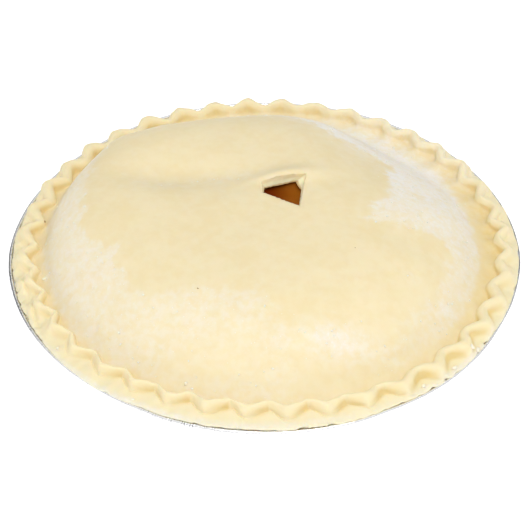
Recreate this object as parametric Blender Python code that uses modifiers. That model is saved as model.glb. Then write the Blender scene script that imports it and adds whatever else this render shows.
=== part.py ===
"""A raw caramel apple pie with a domed lid and a crimped edge, in the foil tin that it is baked in.

Metres, +Z up. The origin is on the table, under the middle of the tin, and -Y is the front of the pie.
"""

import math
import random

import bmesh
import bpy

MM = 0.001

# The tin. The rolled rim's outside is the widest circle of the whole pie.
RIM_RADIUS = 127.0 * MM
ROLL_RADIUS = 1.1 * MM
FLANGE_TOP = 29.0 * MM
MOUTH_RADIUS = 117.0 * MM
BASE_RADIUS = 95.0 * MM
SHEET = 0.6 * MM
TIN_SIDES = 96
ROLL_STEPS = 6
MERGE_DISTANCE = 0.05 * MM
WALL_LEAN = (MOUTH_RADIUS - BASE_RADIUS + SHEET) / (FLANGE_TOP - SHEET)  # how far the wall leans out as it rises

# The clearance that is left between one piece and the next.
GAP = 0.3 * MM

# The crimped edge: an upright zigzag bar of dough that goes round the tin's flange. Heights are over the flange.
CRIMPS = 40
CRIMP_PITCH = math.tau / CRIMPS
FIRST_CRIMP = math.radians(172.0)
BAR_CREST = (7.2 * MM, 7.9 * MM)  # the bar's height, at an inner and at an outer bend
BAR_TOP_DROP = (0.3 * MM, 0.4 * MM)  # the rounding of its top, on the inside and on the outside
BAR_WALL_DROP = (2.2 * MM, 2.6 * MM)  # where the rounding ends, on the inside and on the outside
BAR_ROUND_SHARE = 0.27  # each rounded edge's share of the bar's thickness
BAR_WOBBLE = 0.4 * MM
BAR_REACH = 125.2 * MM
VALLEY_RISE = (3.4 * MM, 1.7 * MM)  # the floor beside the bar, at an inner and at an outer bend
VALLEY_STEP = 0.8 * MM
VALLEY_WIDTH = 0.5 * MM
POCKET_RISE = (3.2 * MM, 2.3 * MM)  # the foot of the bar on its outside, at an inner and at an outer bend
POCKET_STEP = 0.3 * MM
FOLD_RISE = (4.2 * MM, 3.2 * MM)  # the lower fold that follows the bar on its outside
FOLD_REACH = 1.6 * MM
FOLD_LIMIT = 125.9 * MM
SKIRT_LIMIT = 126.6 * MM  # the furthest that the thin outer edge of the dough reaches
SKIRT_WIDTH = 1.1 * MM
SKIRT_WOBBLE = 0.3 * MM
SKIRT_THICKNESS = 0.9 * MM
SKIRT_SEAT = 122.7 * MM  # out to here the dough lies flat on the flange
SKIRT_FOOT = 123.1 * MM
SKIRT_LIFT = 0.5 * MM
SKIRT_CLIMB = 0.42  # how steeply its underside climbs over the tin's rolled rim

# The crimped edge as it goes round the tin. Each row is an angle in degrees; the radius of the bar's inner edge
# at an inner and at an outer bend; the radius of its outer edge at an inner and at an outer bend; how far the
# thin edge of the dough reaches, all in mm; and a power that is 1 for straight runs between the bends and less
# for full, round lobes.
EDGE_SIZES = (
    (0.0, 113.7, 118.9, 118.6, 123.2, 124.0, 0.80),
    (30.0, 113.0, 118.6, 117.2, 123.2, 123.4, 0.60),
    (60.0, 113.0, 118.2, 116.2, 122.2, 123.4, 0.60),
    (95.0, 113.3, 118.0, 116.2, 122.2, 123.4, 0.60),
    (130.0, 112.9, 117.6, 116.8, 122.9, 124.2, 0.60),
    (155.0, 112.8, 117.6, 117.0, 122.4, 125.0, 0.60),
    (190.0, 113.0, 117.0, 116.6, 120.9, 125.3, 0.70),
    (230.0, 113.9, 117.0, 116.6, 121.8, 125.8, 0.60),
    (262.0, 113.7, 116.8, 116.4, 122.8, 126.3, 0.60),
    (290.0, 114.3, 118.0, 117.8, 124.2, 126.2, 0.80),
    (315.0, 114.8, 119.2, 119.4, 125.0, 125.2, 0.95),
    (338.0, 113.4, 117.8, 118.4, 123.8, 124.4, 0.95),
)

# Where the crimps run ahead of an even spacing or behind it: an angle round the tin and a turn, in degrees.
CRIMP_DRIFT = (
    (0.0, -1.2),
    (10.0, -1.9),
    (37.0, -1.3),
    (64.0, -1.3),
    (85.0, -0.9),
    (110.0, -1.2),
    (136.0, -0.5),
    (154.0, -0.3),
    (172.0, -0.1),
    (187.0, 0.3),
    (205.0, -0.2),
    (226.0, -0.6),
    (244.0, -0.3),
    (271.0, 0.1),
    (300.0, -0.3),
    (318.0, -0.8),
    (338.0, -0.2),
)

# The lid: a flat-topped dome of rolled dough.
LID_THICKNESS = 3.6 * MM
DOME_RISE = 33.0 * MM
LID_FOOT_RISE = 3.0 * MM
LID_FOOT_RADIUS = 110.3 * MM
LID_FOOT_LEAN = 1.2 * MM  # the foot is this much further out on the left, and further in on the right
DOME_FLATNESS = 5.0  # a higher power keeps the top flat for longer and makes the side steeper
DOME_EDGE = 1.3
FORM_FADE = 0.5  # the soft forms below fade out with this power of the dome's height

# Where the dome isn't round: a direction and a half width, in degrees, and what it adds there.
FAR_LEFT_CORNER = (155.0, 32.0)
CORNER_FLATNESS = 5.5
FAR_RIGHT_CUT = (50.0, 26.0)
CUT_DEPTH = 9.5 * MM
RIGHT_SLOPE = (26.0, 30.0)
SLOPE_FLATNESS = -1.6

# Soft forms pressed into the lid by what is under it: x, y, half length, half width (mm), turn (degrees) and
# height (mm), which is less than nothing for a dip.
LID_FORMS = (
    (-38.0, 36.0, 52.0, 24.0, -3.0, -3.2),  # the far left is lower than the front
    (-42.0, 16.0, 40.0, 10.0, -2.0, -3.3),  # the crease where it drops
    (-30.0, 98.0, 36.0, 16.0, 10.0, -6.0),  # the far shoulder is low
    (-82.0, 70.0, 13.0, 12.0, -45.0, 4.8),  # the far left corner is full
    (36.0, 92.0, 24.0, 15.0, -22.0, 4.0),  # the far side is full again on the right
    (52.0, 52.0, 34.0, 17.0, -43.0, -3.4),  # the far right falls away early
    (12.0, 22.0, 19.0, 5.5, 10.0, 2.2),  # the lifted lip behind the vent
    (72.0, -25.0, 26.0, 9.0, -12.0, -1.0),  # a shallow dish on the right
    (18.0, -88.0, 20.0, 8.0, 0.0, 1.0),  # a low lobe at the front
)

# The vent: a three-sided hole with one blunt corner, cut with a knife a little right of the middle. Its corners
# are x and y in mm.
VENT_CORNERS = ((-1.7, 8.4), (17.3, -4.8), (20.5, 18.5), (-1.5, 13.5))
VENT_X = 12.0 * MM
VENT_Y = 7.2 * MM
VENT_CUT_ABOVE = 6.0 * MM
VENT_CUT_BELOW = 7.0 * MM

# The hollow that the lid and the bottom crust close round, and the filling in it.
BOTTOM_CRUST = 3.5 * MM
HOLLOW_SHOULDER_RADIUS = 103.0 * MM
HOLLOW_CORNER_RADIUS = 109.5 * MM
HOLLOW_CORNER_DROP = 3.0 * MM
HOLLOW_FLOOR_RADIUS = 92.4 * MM
FILLING_CLEARANCE = 0.4 * MM
VENT_HOLLOW_DEPTH = 2.2 * MM
VENT_HOLLOW_RADIUS = 22.0 * MM

# Where the columns of points stand in one crimp. 0 is an inner bend and 0.5 is an outer bend.
FINE_TURNS = (0.0, 0.1, 0.25, 0.4, 0.5, 0.6, 0.75, 0.9)
EVEN_TURNS = (0.0, 0.5)
WIDE_TURNS = (0.0,)

# Rings of points on the lid, as shares of the way from its middle to its foot.
CENTRE_RINGS = (0.05, 0.10, 0.145, 0.19, 0.235, 0.285, 0.345)
LID_RINGS = (0.42, 0.50, 0.58, 0.66, 0.735, 0.80, 0.855, 0.905, 0.95, 0.98, 1.0)
HOLLOW_RINGS = (0.12, 0.24, 0.36, 0.48, 0.60, 0.72, 0.83, 0.92, 1.0)

SLOPE_STEP = 0.5 * MM
SHARP_ANGLE = math.radians(50.0)


def clear_scene():
    for obj in list(bpy.data.objects):
        bpy.data.objects.remove(obj, do_unlink=True)


def make_collection(name):
    collection = bpy.data.collections.new(name)
    bpy.context.scene.collection.children.link(collection)
    return collection


def make_material(name, colour, roughness, metallic=0.0):
    material = bpy.data.materials.new(name)
    material.use_nodes = True
    shader = material.node_tree.nodes["Principled BSDF"]
    shader.inputs["Base Color"].default_value = (*colour, 1.0)
    shader.inputs["Roughness"].default_value = roughness
    shader.inputs["Metallic"].default_value = metallic
    return material


def add_object(name, mesh, material, collection):
    obj = bpy.data.objects.new(name, mesh)
    mesh.materials.append(material)
    collection.objects.link(obj)
    return obj


def blend(pair, share):
    return pair[0] + (pair[1] - pair[0]) * share


# --- the rule that the crimps follow -------------------------------------------------------------------------


def row_at(table, angle):
    """The row for this angle of a table whose rows start with an angle, eased from one named row to the next."""
    degrees = math.degrees(angle) % 360.0
    first = table[0]
    rows = list(table) + [(first[0] + 360.0, *first[1:])]
    for start, end in zip(rows, rows[1:]):
        if start[0] <= degrees <= end[0]:
            share = (degrees - start[0]) / (end[0] - start[0])
            eased = share * share * (3.0 - 2.0 * share)
            return [low + (high - low) * eased for low, high in zip(start[1:], end[1:])]
    return list(first[1:])


def angle_at(turn):
    """The angle round the tin of a place on the zigzag, where each whole turn is one crimp."""
    even_angle = FIRST_CRIMP + turn * CRIMP_PITCH
    return even_angle + math.radians(row_at(CRIMP_DRIFT, even_angle)[0])


def bend_at(turn):
    """0 at an inner bend and 1 at an outer one: straight runs with rounded bends."""
    straight = 1.0 - abs(2.0 * (turn % 1.0) - 1.0)
    rounded = (1.0 - math.cos(math.pi * straight)) / 2.0
    return (straight + rounded) / 2.0


def hand_wobble(seed):
    """A function of turn that wanders between -1 and 1, as a crimp pressed by hand does from bend to bend."""
    draw = random.Random(seed)
    knots = [draw.uniform(-1.0, 1.0) for _ in range(2 * CRIMPS)]

    def wobble(turn):
        place = (2.0 * turn) % (2 * CRIMPS)
        first = int(place)
        share = place - first
        return knots[first] * (1.0 - share) + knots[(first + 1) % (2 * CRIMPS)] * share

    return wobble


radius_wobble = hand_wobble(3)
height_wobble = hand_wobble(5)
skirt_wobble = hand_wobble(8)


def inner_edge(turn):
    at_inner, at_outer, _, _, _, _ = row_at(EDGE_SIZES, angle_at(turn))
    return blend((at_inner * MM, at_outer * MM), bend_at(turn)) + BAR_WOBBLE * radius_wobble(turn)


def outer_edge(turn):
    _, _, at_inner, at_outer, _, fullness = row_at(EDGE_SIZES, angle_at(turn))
    lobe = bend_at(turn) ** fullness
    return min(blend((at_inner * MM, at_outer * MM), lobe) + BAR_WOBBLE * radius_wobble(turn), BAR_REACH)


def bar_round(turn):
    return BAR_ROUND_SHARE * (outer_edge(turn) - inner_edge(turn))


def crest_rise(turn):
    return blend(BAR_CREST, bend_at(turn)) + BAR_WOBBLE * height_wobble(turn)


def valley_radius(turn):
    """Where the bar's inner foot meets the valley's floor, which never reaches in as far as the lid's foot."""
    return max(inner_edge(turn) - VALLEY_STEP, foot_radius(angle_at(turn)) + VALLEY_WIDTH)


def fold_radius(turn):
    return min(outer_edge(turn) + FOLD_REACH, FOLD_LIMIT)


def skirt_radius(turn):
    _, _, _, _, reach, _ = row_at(EDGE_SIZES, angle_at(turn))
    ragged = reach * MM + SKIRT_WOBBLE * skirt_wobble(turn)
    return min(max(ragged, fold_radius(turn) + SKIRT_WIDTH), SKIRT_LIMIT)


def skirt_underside(turn):
    """The skirt climbs over the tin's rolled rim, higher where it reaches further."""
    return SKIRT_LIFT + SKIRT_CLIMB * (skirt_radius(turn) - SKIRT_FOOT)


# --- the lid's surface ---------------------------------------------------------------------------------------


def near_direction(angle, place):
    """1 in the named direction, and less to either side of it."""
    direction, half_width = place
    away = (math.degrees(angle) - direction + 180.0) % 360.0 - 180.0
    return math.exp(-((away / half_width) ** 2))


def foot_radius(angle):
    round_foot = LID_FOOT_RADIUS - LID_FOOT_LEAN * math.cos(angle)
    return round_foot - CUT_DEPTH * near_direction(angle, FAR_RIGHT_CUT)


def flatness(angle):
    corner = CORNER_FLATNESS * near_direction(angle, FAR_LEFT_CORNER)
    slope = SLOPE_FLATNESS * near_direction(angle, RIGHT_SLOPE)
    return DOME_FLATNESS + corner + slope


def lid_form(form, x, y):
    """One soft form: a smooth bump or dip, long in one direction."""
    middle_x, middle_y, half_length, half_width, turn, height = form
    cos_turn = math.cos(math.radians(turn))
    sin_turn = math.sin(math.radians(turn))
    away_x = x / MM - middle_x
    away_y = y / MM - middle_y
    along = (away_x * cos_turn + away_y * sin_turn) / half_length
    across = (away_y * cos_turn - away_x * sin_turn) / half_width
    return height * MM * math.exp(-along * along - across * across)


def lid_rise(x, y):
    """The height of the lid's top over the flange."""
    angle = math.atan2(y, x)
    share = min(math.hypot(x, y) / foot_radius(angle), 1.0)
    dome = (1.0 - share ** flatness(angle)) ** DOME_EDGE
    forms = sum(lid_form(form, x, y) for form in LID_FORMS)
    return LID_FOOT_RISE + (DOME_RISE - LID_FOOT_RISE) * dome + forms * dome**FORM_FADE


def lid_slope(x, y):
    along_x = (lid_rise(x + SLOPE_STEP, y) - lid_rise(x - SLOPE_STEP, y)) / (2.0 * SLOPE_STEP)
    along_y = (lid_rise(x, y + SLOPE_STEP) - lid_rise(x, y - SLOPE_STEP)) / (2.0 * SLOPE_STEP)
    return math.hypot(along_x, along_y)


def under_lid(x, y, clearance):
    """The height of the lid's underside, or of what lies that much lower, measured square to the dough."""
    thickness = LID_THICKNESS + clearance
    return FLANGE_TOP + lid_rise(x, y) - thickness * math.hypot(1.0, lid_slope(x, y))


# --- rings of points, and the skins stretched between them ---------------------------------------------------


def all_turns(turns):
    return [crimp + turn for crimp in range(CRIMPS) for turn in turns]


def ring(shape, turns, radius_at, height_at):
    """A closed ring of points: radius_at takes a turn, and height_at takes a turn, x and y."""
    points = []
    for turn in all_turns(turns):
        angle = angle_at(turn)
        radius = radius_at(turn)
        x = radius * math.cos(angle)
        y = radius * math.sin(angle)
        points.append(shape.verts.new((x, y, height_at(turn, x, y))))
    return points


def bridge(shape, ring_a, ring_b):
    """Faces between two rings, where one has a whole number of times the other's points."""
    few, many = sorted((ring_a, ring_b), key=len)
    ratio = len(many) // len(few)
    middle = (ratio + 1) // 2
    faces = []
    for place, start in enumerate(few):
        end = few[(place + 1) % len(few)]
        arc = [many[(place * ratio + step) % len(many)] for step in range(ratio + 1)]
        if ratio == 1:
            faces.append(shape.faces.new((start, end, arc[1], arc[0])))
            continue
        for step in range(ratio):
            corner = start if step < middle else end
            faces.append(shape.faces.new((corner, arc[step + 1], arc[step])))
        faces.append(shape.faces.new((start, end, arc[middle])))
    return faces


def fan(shape, points, centre):
    """Faces from a ring to one point in its middle."""
    point = shape.verts.new(centre)
    return [shape.faces.new((start, end, point)) for start, end in zip(points, points[1:] + points[:1])]


def closed_skin(shape, rings, first_centre, last_centre, inward):
    """A closed skin over a stack of rings, with its faces pointing out, or in where it is a hollow's wall."""
    faces = fan(shape, rings[0], first_centre) + fan(shape, rings[-1], last_centre)
    for ring_a, ring_b in zip(rings, rings[1:]):
        faces += bridge(shape, ring_a, ring_b)
    bmesh.ops.recalc_face_normals(shape, faces=faces)
    if inward:
        bmesh.ops.reverse_faces(shape, faces=faces)


def finish_mesh(shape, name):
    mesh = bpy.data.meshes.new(name)
    shape.to_mesh(mesh)
    shape.free()
    mesh.shade_smooth()
    mesh.set_sharp_from_angle(angle=SHARP_ANGLE)
    return mesh


# --- the tin -------------------------------------------------------------------------------------------------


def tin_profile():
    """Half of the tin's section: out along the inside, round the rolled rim and back along the outside."""
    flange_under = FLANGE_TOP - SHEET
    roll_centre = RIM_RADIUS - ROLL_RADIUS
    roll_height = FLANGE_TOP - SHEET / 2.0
    start = math.pi - math.asin(SHEET / 2.0 / ROLL_RADIUS)
    end = -start
    roll = []
    for step in range(ROLL_STEPS + 1):
        angle = start + (end - start) * step / ROLL_STEPS
        roll.append((roll_centre + ROLL_RADIUS * math.cos(angle), roll_height + ROLL_RADIUS * math.sin(angle)))
    inside = [(0.0, SHEET), (BASE_RADIUS - SHEET, SHEET), (MOUTH_RADIUS, FLANGE_TOP)]
    outside = [(MOUTH_RADIUS + SHEET, flange_under), (BASE_RADIUS, 0.0), (0.0, 0.0)]
    return inside + roll + outside


def make_tin(collection, material):
    profile = tin_profile()
    mesh = bpy.data.meshes.new("foil_tin")
    points = [(radius, 0.0, height) for radius, height in profile]
    mesh.from_pydata(points, [(i, i + 1) for i in range(len(points) - 1)], [])
    tin = add_object("foil_tin", mesh, material, collection)
    turn = tin.modifiers.new("turned", "SCREW")
    turn.angle = math.tau
    turn.steps = TIN_SIDES
    turn.render_steps = TIN_SIDES
    turn.use_smooth_shade = True
    turn.use_merge_vertices = True
    turn.merge_threshold = MERGE_DISTANCE
    return tin


# --- the pastry ----------------------------------------------------------------------------------------------


def over_flange(rise_at):
    """A height rule for a ring, from a rise over the flange that depends on the turn alone."""
    return lambda turn, x, y: FLANGE_TOP + rise_at(turn)


def lid_rings(shape):
    def ring_on_lid(share, turns):
        return ring(
            shape,
            turns,
            lambda turn: share * foot_radius(angle_at(turn)),
            lambda turn, x, y: FLANGE_TOP + lid_rise(x, y),
        )

    centre = [ring_on_lid(share, WIDE_TURNS) for share in CENTRE_RINGS]
    return centre + [ring_on_lid(share, EVEN_TURNS) for share in LID_RINGS]


def crimp_rings(shape):
    """From the valley beside the lid, over the zigzag bar, down to its pocket, and out to the skirt's edge."""
    section = (
        (valley_radius, lambda turn: blend(VALLEY_RISE, bend_at(turn))),
        (inner_edge, lambda turn: crest_rise(turn) - BAR_WALL_DROP[0]),
        (lambda turn: inner_edge(turn) + bar_round(turn), lambda turn: crest_rise(turn) - BAR_TOP_DROP[0]),
        (lambda turn: outer_edge(turn) - bar_round(turn), lambda turn: crest_rise(turn) - BAR_TOP_DROP[1]),
        (outer_edge, lambda turn: crest_rise(turn) - BAR_WALL_DROP[1]),
        (lambda turn: outer_edge(turn) + POCKET_STEP, lambda turn: blend(POCKET_RISE, bend_at(turn))),
        (fold_radius, lambda turn: blend(FOLD_RISE, bend_at(turn))),
        (skirt_radius, lambda turn: skirt_underside(turn) + SKIRT_THICKNESS),
        (skirt_radius, skirt_underside),
    )
    return [ring(shape, FINE_TURNS, radius_at, over_flange(rise_at)) for radius_at, rise_at in section]


def beside_wall(radius, clearance):
    """A radius on a slope like the tin's wall, moved in so that the clearance is measured square to the wall."""
    return radius - clearance * math.hypot(1.0, WALL_LEAN)


def bottom_rings(shape):
    """The underside, which lies on the flange and then follows the tin's wall down to its base."""
    section = (
        (SKIRT_SEAT, FLANGE_TOP + GAP),
        (beside_wall(MOUTH_RADIUS + GAP * WALL_LEAN, GAP), FLANGE_TOP + GAP),
        (beside_wall(BASE_RADIUS - SHEET + GAP * WALL_LEAN, GAP), SHEET + GAP),
    )
    return [ring(shape, EVEN_TURNS, lambda turn, r=radius: r, lambda turn, x, y, z=height: z)
            for radius, height in section]


def hollow_rings(shape, clearance, top_drop):
    """Rings of the hollow's wall, or of what fills it with that clearance, from under the lid to the floor."""
    rings = []
    for share in HOLLOW_RINGS:
        rings.append(ring(
            shape,
            WIDE_TURNS,
            lambda turn: share * (HOLLOW_SHOULDER_RADIUS - clearance),
            lambda turn, x, y: under_lid(x, y, clearance) - top_drop(x, y),
        ))
    corner = (beside_wall(HOLLOW_CORNER_RADIUS, clearance), FLANGE_TOP - HOLLOW_CORNER_DROP)
    floor = (beside_wall(HOLLOW_FLOOR_RADIUS, clearance), SHEET + GAP + BOTTOM_CRUST + clearance)
    for radius, height in (corner, floor):
        rings.append(ring(shape, WIDE_TURNS, lambda turn: radius, lambda turn, x, y: height))
    return rings


def no_drop(x, y):
    return 0.0


def vent_drop(x, y):
    """The filling lies a little lower round the vent, where the lid is open over it."""
    away = math.hypot(x - VENT_X, y - VENT_Y) / VENT_HOLLOW_RADIUS
    return VENT_HOLLOW_DEPTH * math.exp(-away * away)


def make_vent_cutter(collection):
    """The vent's outline, raised into a block that goes through the lid and stops in the hollow."""
    lid_top = FLANGE_TOP + lid_rise(VENT_X, VENT_Y)
    low = lid_top - VENT_CUT_BELOW
    shape = bmesh.new()
    outline = shape.faces.new([shape.verts.new((x * MM, y * MM, low)) for x, y in VENT_CORNERS])
    raised = bmesh.ops.extrude_face_region(shape, geom=[outline])["geom"]
    corners = [part for part in raised if isinstance(part, bmesh.types.BMVert)]
    bmesh.ops.translate(shape, verts=corners, vec=(0.0, 0.0, VENT_CUT_BELOW + VENT_CUT_ABOVE))
    bmesh.ops.recalc_face_normals(shape, faces=shape.faces)
    mesh = bpy.data.meshes.new("vent_cutter")
    shape.to_mesh(mesh)
    shape.free()
    cutter = bpy.data.objects.new("vent_cutter", mesh)
    collection.objects.link(cutter)
    cutter.hide_render = True
    cutter.display_type = "WIRE"
    return cutter


def make_crust(collection, material, cutter):
    shape = bmesh.new()
    outside = lid_rings(shape) + crimp_rings(shape) + bottom_rings(shape)
    lid_middle = (0.0, 0.0, FLANGE_TOP + lid_rise(0.0, 0.0))
    closed_skin(shape, outside, lid_middle, (0.0, 0.0, SHEET + GAP), inward=False)
    hollow = hollow_rings(shape, 0.0, no_drop)
    hollow_top = (0.0, 0.0, under_lid(0.0, 0.0, 0.0))
    closed_skin(shape, hollow, hollow_top, (0.0, 0.0, SHEET + GAP + BOTTOM_CRUST), inward=True)
    crust = add_object("pastry_crust", finish_mesh(shape, "pastry_crust"), material, collection)
    vent = crust.modifiers.new("vent", "BOOLEAN")
    vent.operation = "DIFFERENCE"
    vent.object = cutter
    return crust


def make_filling(collection, material):
    shape = bmesh.new()
    rings = hollow_rings(shape, FILLING_CLEARANCE, vent_drop)
    top = (0.0, 0.0, under_lid(0.0, 0.0, FILLING_CLEARANCE) - vent_drop(0.0, 0.0))
    floor = (0.0, 0.0, SHEET + GAP + BOTTOM_CRUST + FILLING_CLEARANCE)
    closed_skin(shape, rings, top, floor, inward=False)
    return add_object("caramel_apple_filling", finish_mesh(shape, "caramel_apple_filling"), material, collection)


def main():
    clear_scene()
    parts = make_collection("caramel_apple_pie")
    cutters = make_collection("cutters")
    foil = make_material("foil", (0.78, 0.79, 0.80), 0.28, metallic=1.0)
    pastry = make_material("raw_pastry", (0.93, 0.80, 0.53), 0.62)
    caramel = make_material("caramel", (0.22, 0.055, 0.006), 0.22)
    make_tin(parts, foil)
    make_crust(parts, pastry, make_vent_cutter(cutters))
    make_filling(parts, caramel)


main()
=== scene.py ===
"""The looks of a raw caramel apple pie: floured, crimped dough, a cut vent over caramel, and a foil rim.

Metres, +Z up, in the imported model's frame. -Y is the front of the pie, and angles round it start at +X.
"""

import math
import random

import bmesh
import bpy
import numpy as np
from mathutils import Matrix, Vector
from mathutils.bvhtree import BVHTree


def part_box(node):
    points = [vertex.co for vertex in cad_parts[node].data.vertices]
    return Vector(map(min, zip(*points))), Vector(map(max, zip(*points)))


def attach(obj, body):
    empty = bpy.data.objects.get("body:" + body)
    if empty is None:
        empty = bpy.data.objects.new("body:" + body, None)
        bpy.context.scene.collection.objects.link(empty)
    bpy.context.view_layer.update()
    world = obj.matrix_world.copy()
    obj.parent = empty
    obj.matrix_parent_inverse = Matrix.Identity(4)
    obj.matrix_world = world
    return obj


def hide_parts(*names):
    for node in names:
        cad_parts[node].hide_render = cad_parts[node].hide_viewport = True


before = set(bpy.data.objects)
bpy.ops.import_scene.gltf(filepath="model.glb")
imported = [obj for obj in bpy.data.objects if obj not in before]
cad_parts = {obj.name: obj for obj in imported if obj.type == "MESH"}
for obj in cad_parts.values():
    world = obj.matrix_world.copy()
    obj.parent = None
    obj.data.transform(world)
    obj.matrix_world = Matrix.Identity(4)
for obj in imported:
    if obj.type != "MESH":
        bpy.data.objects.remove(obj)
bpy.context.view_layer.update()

MM = 0.001

# The seeds of all that is random.
RADIUS_SEED, HEIGHT_SEED, SKIRT_SEED = 3, 5, 8
LID_SEED, FLOUR_SEED = 20, 51  # the first of several that follow each other
EDGE_SEED, HAND_SEEDS, CUT_SEEDS = 31, (32, 33, 34), (41, 42)
RIM_SEED, FLUTE_SEED, FILLING_SEED = 61, 62, 71
SPECK_SEED, CRUMB_SEED, GRAIN_SEED, GRAIN_PLACE_SEED = 81, 82, 83, 84

# The tin's sizes. Its rim and its top come from the frame.
SHEET = 0.6 * MM
ROLL_RADIUS = 1.1 * MM
RIM_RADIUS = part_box("foil_tin")[1].x
FLANGE_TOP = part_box("foil_tin")[1].z - ROLL_RADIUS + SHEET / 2.0
MOUTH_RADIUS = 117.0 * MM
BASE_RADIUS = 95.0 * MM
WALL_LEAN = (MOUTH_RADIUS - BASE_RADIUS + SHEET) / (FLANGE_TOP - SHEET)
GAP = 0.3 * MM

# The crimped edge, by the solids' rule: an upright zigzag bar of dough on the tin's flange. Heights are over
# the flange, and a pair is for an inner and an outer bend of the zigzag, unless its comment says otherwise.
CRIMPS = 40
CRIMP_PITCH = math.tau / CRIMPS
FIRST_CRIMP = math.radians(172.0)
BEND_SHARPNESS = 0.93
PINCH_SHARE = 0.75  # how much of a bend is pinched inside it and round outside it
NEAR_PINCH = 0.15  # that share for the bar's outer edge, at the front
NEAR_PINCH_FADE = (-0.7, 0.1)  # it changes between these sines of the angle
BAR_CREST = (7.2 * MM, 7.9 * MM)
BAR_TOP_DROP = (0.45 * MM, 0.55 * MM)  # on the inside and on the outside
BAR_WALL_DROP = (2.3 * MM, 2.6 * MM)  # on the inside and on the outside
BAR_ROUND_SHARE = 0.25
BAR_WOBBLE = 0.4 * MM
BAR_REACH = 125.2 * MM
SLOPE_PLACES = (0.935, 0.95)  # the lid's last two places, as shares of its foot's radius
FOOT_CORNER = 0.8 * MM  # how far inside the foot the soft corner lies
VALLEY_RISE = (3.4 * MM, 1.7 * MM)
VALLEY_STEP = 0.8 * MM
VALLEY_WIDTH = 0.5 * MM
TIP_STEP = 1.2 * MM  # how far inside a tip of the bar the lid ends at the latest
FOOT_LIFT = 0.5 * MM
POCKET_DROP = 0.3 * MM  # how much lower the pockets are at the outer bends
FLANK_SHARE = 0.45
FOLD_RISE = (0.9 * MM, -0.1 * MM)  # over the pockets, by a bend that lags behind the bar's
FOLD_LAG = 0.2
FOLD_REACH = 1.5 * MM
FOLD_SHARE = 0.5
FOLD_FLANKS = (0.9, 2.0)  # a narrow flank has a whole fold beside it, and a wide one has none
FOLD_SLOPE = 0.25
FOLD_TOP = 4.3 * MM
SKIRT_LIMIT = 127.0 * MM
SKIRT_WIDTH = 1.3 * MM
SKIRT_WOBBLE = 0.3 * MM
SKIRT_THICKNESS = 0.9 * MM
SKIRT_ROUNDING = 0.25 * MM
SKIRT_SEAT = 122.7 * MM  # out to here the dough lies flat on the flange
SKIRT_CLEARANCE = 0.12 * MM
SEAT_STEER = 2.0 * MM  # how far inside the seat the section's curve is steered from
RAGGED_EDGE = 0.28 * MM  # how much the skirt's edge wanders
EDGE_WAVE = 5.0 * MM
# Where it wanders more: an angle and half the width, in degrees.
TORN_SIDE = (281.0, 5.0)
TORN_EDGE = 0.75 * MM
LUMPY_SIDE = (316.0, 16.0)
LUMPY_EDGE = 0.35 * MM
# Where the skirt gapes over the rim: an angle, half the width in degrees, and the lift.
SKIRT_LIFTS = (
    (300, 4.5, 0.75 * MM), (307.5, 1.3, 0.7 * MM), (277.5, 0.7, 0.5 * MM), (279.8, 0.6, 0.5 * MM),
    (282.3, 0.8, 0.5 * MM), (285, 0.5, 0.4 * MM),
)
CRISP_PASSES, ROUND_PASSES = 2, 5  # how often the bar's edges are smoothed, at the front and at the back
ROUND_FADE = (0.0, 0.6)  # between these sines of the angle
HAND_RELIEF = 0.16 * MM  # how uneven the pressed dough of the edge is
HAND_WAVES = (7.0 * MM, 7.0 * MM, 2.6 * MM)
FINE_RELIEF = (0.3, 0.2)  # the finest waves' share of it, outwards and upwards
RELIEF_START = (0.108, 0.113)  # it fades in between these radii

# Each row is an angle in degrees; the bar's inner edge at an inner and at an outer bend; its outer edge at
# both; how far the thin edge of the dough reaches; how high the flange's dough stands beside the bar; and
# how wide the bar's outer flank is, all in mm. Then come the share of a crimp that runs outwards, and how
# pointed its inner tip is.
EDGE_SIZES = (
    (0, 113.7, 118.7, 118.2, 123.2, 125.9, 4.4, 1.8, 0.50, 0),
    (30, 113, 118.2, 117.4, 123.2, 125.6, 4.4, 2, 0.50, 0),
    (60, 113, 118, 116.4, 122.2, 123.8, 3.6, 1.8, 0.50, 0),
    (95, 113, 117, 116.2, 122.4, 122.8, 3, 1.2, 0.50, 0),
    (130, 112.2, 116.8, 117, 123.4, 122.8, 3.4, 1.8, 0.50, 0.1),
    (155, 111.5, 117.4, 117.6, 123.8, 124.4, 4.4, 2.4, 0.46, 0.3),
    (180, 111.4, 117, 116.8, 122.8, 125, 4.6, 2.6, 0.44, 0.5),
    (203, 111, 115.6, 115.2, 120.4, 125.2, 4.2, 2, 0.42, 0.7),
    (230, 110.8, 115, 113.8, 118.7, 126.9, 3.2, 0.9, 0.45, 0.8),
    (262, 111.9, 115.2, 114.4, 119.8, 125.7, 2.8, 0.8, 0.42, 0.7),
    (290, 113.1, 116.8, 116.6, 121.8, 126.4, 2.8, 1, 0.47, 0.2),
    (315, 112.4, 116.8, 117.2, 123.4, 126.4, 2.8, 1.7, 0.50, 0),
    (338, 112.2, 117, 117.6, 123.6, 126.2, 3.8, 2, 0.50, 0),
)
# An angle round the tin, and how far the crimps run ahead of an even spacing there, in degrees.
CRIMP_DRIFT = (
    (0, 0.6), (12, -0.8), (24, -0.6), (37, -0.6), (64, -1.3), (85, -0.9), (110, -1.4), (136, -0.7),
    (154, -0.9), (172, -0.6), (187, 0.2), (205, -0.1), (222, -0.4), (236, 0.3), (247, 0), (271, 0.1),
    (297, -0.5), (310, 0.3), (325, 0.8), (350, 1),
)

# The lid, by the solids' rule: a flat-topped dome of rolled dough.
LID_THICKNESS = 3.6 * MM
DOME_RISE = 33.0 * MM
LID_FOOT_RISE = 3.0 * MM
LID_FOOT_RADIUS = 110.3 * MM
LID_FOOT_LEAN = 1.2 * MM
DOME_FLATNESS = 5.0
DOME_EDGE = 1.3
FORM_FADE = 0.5
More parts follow.
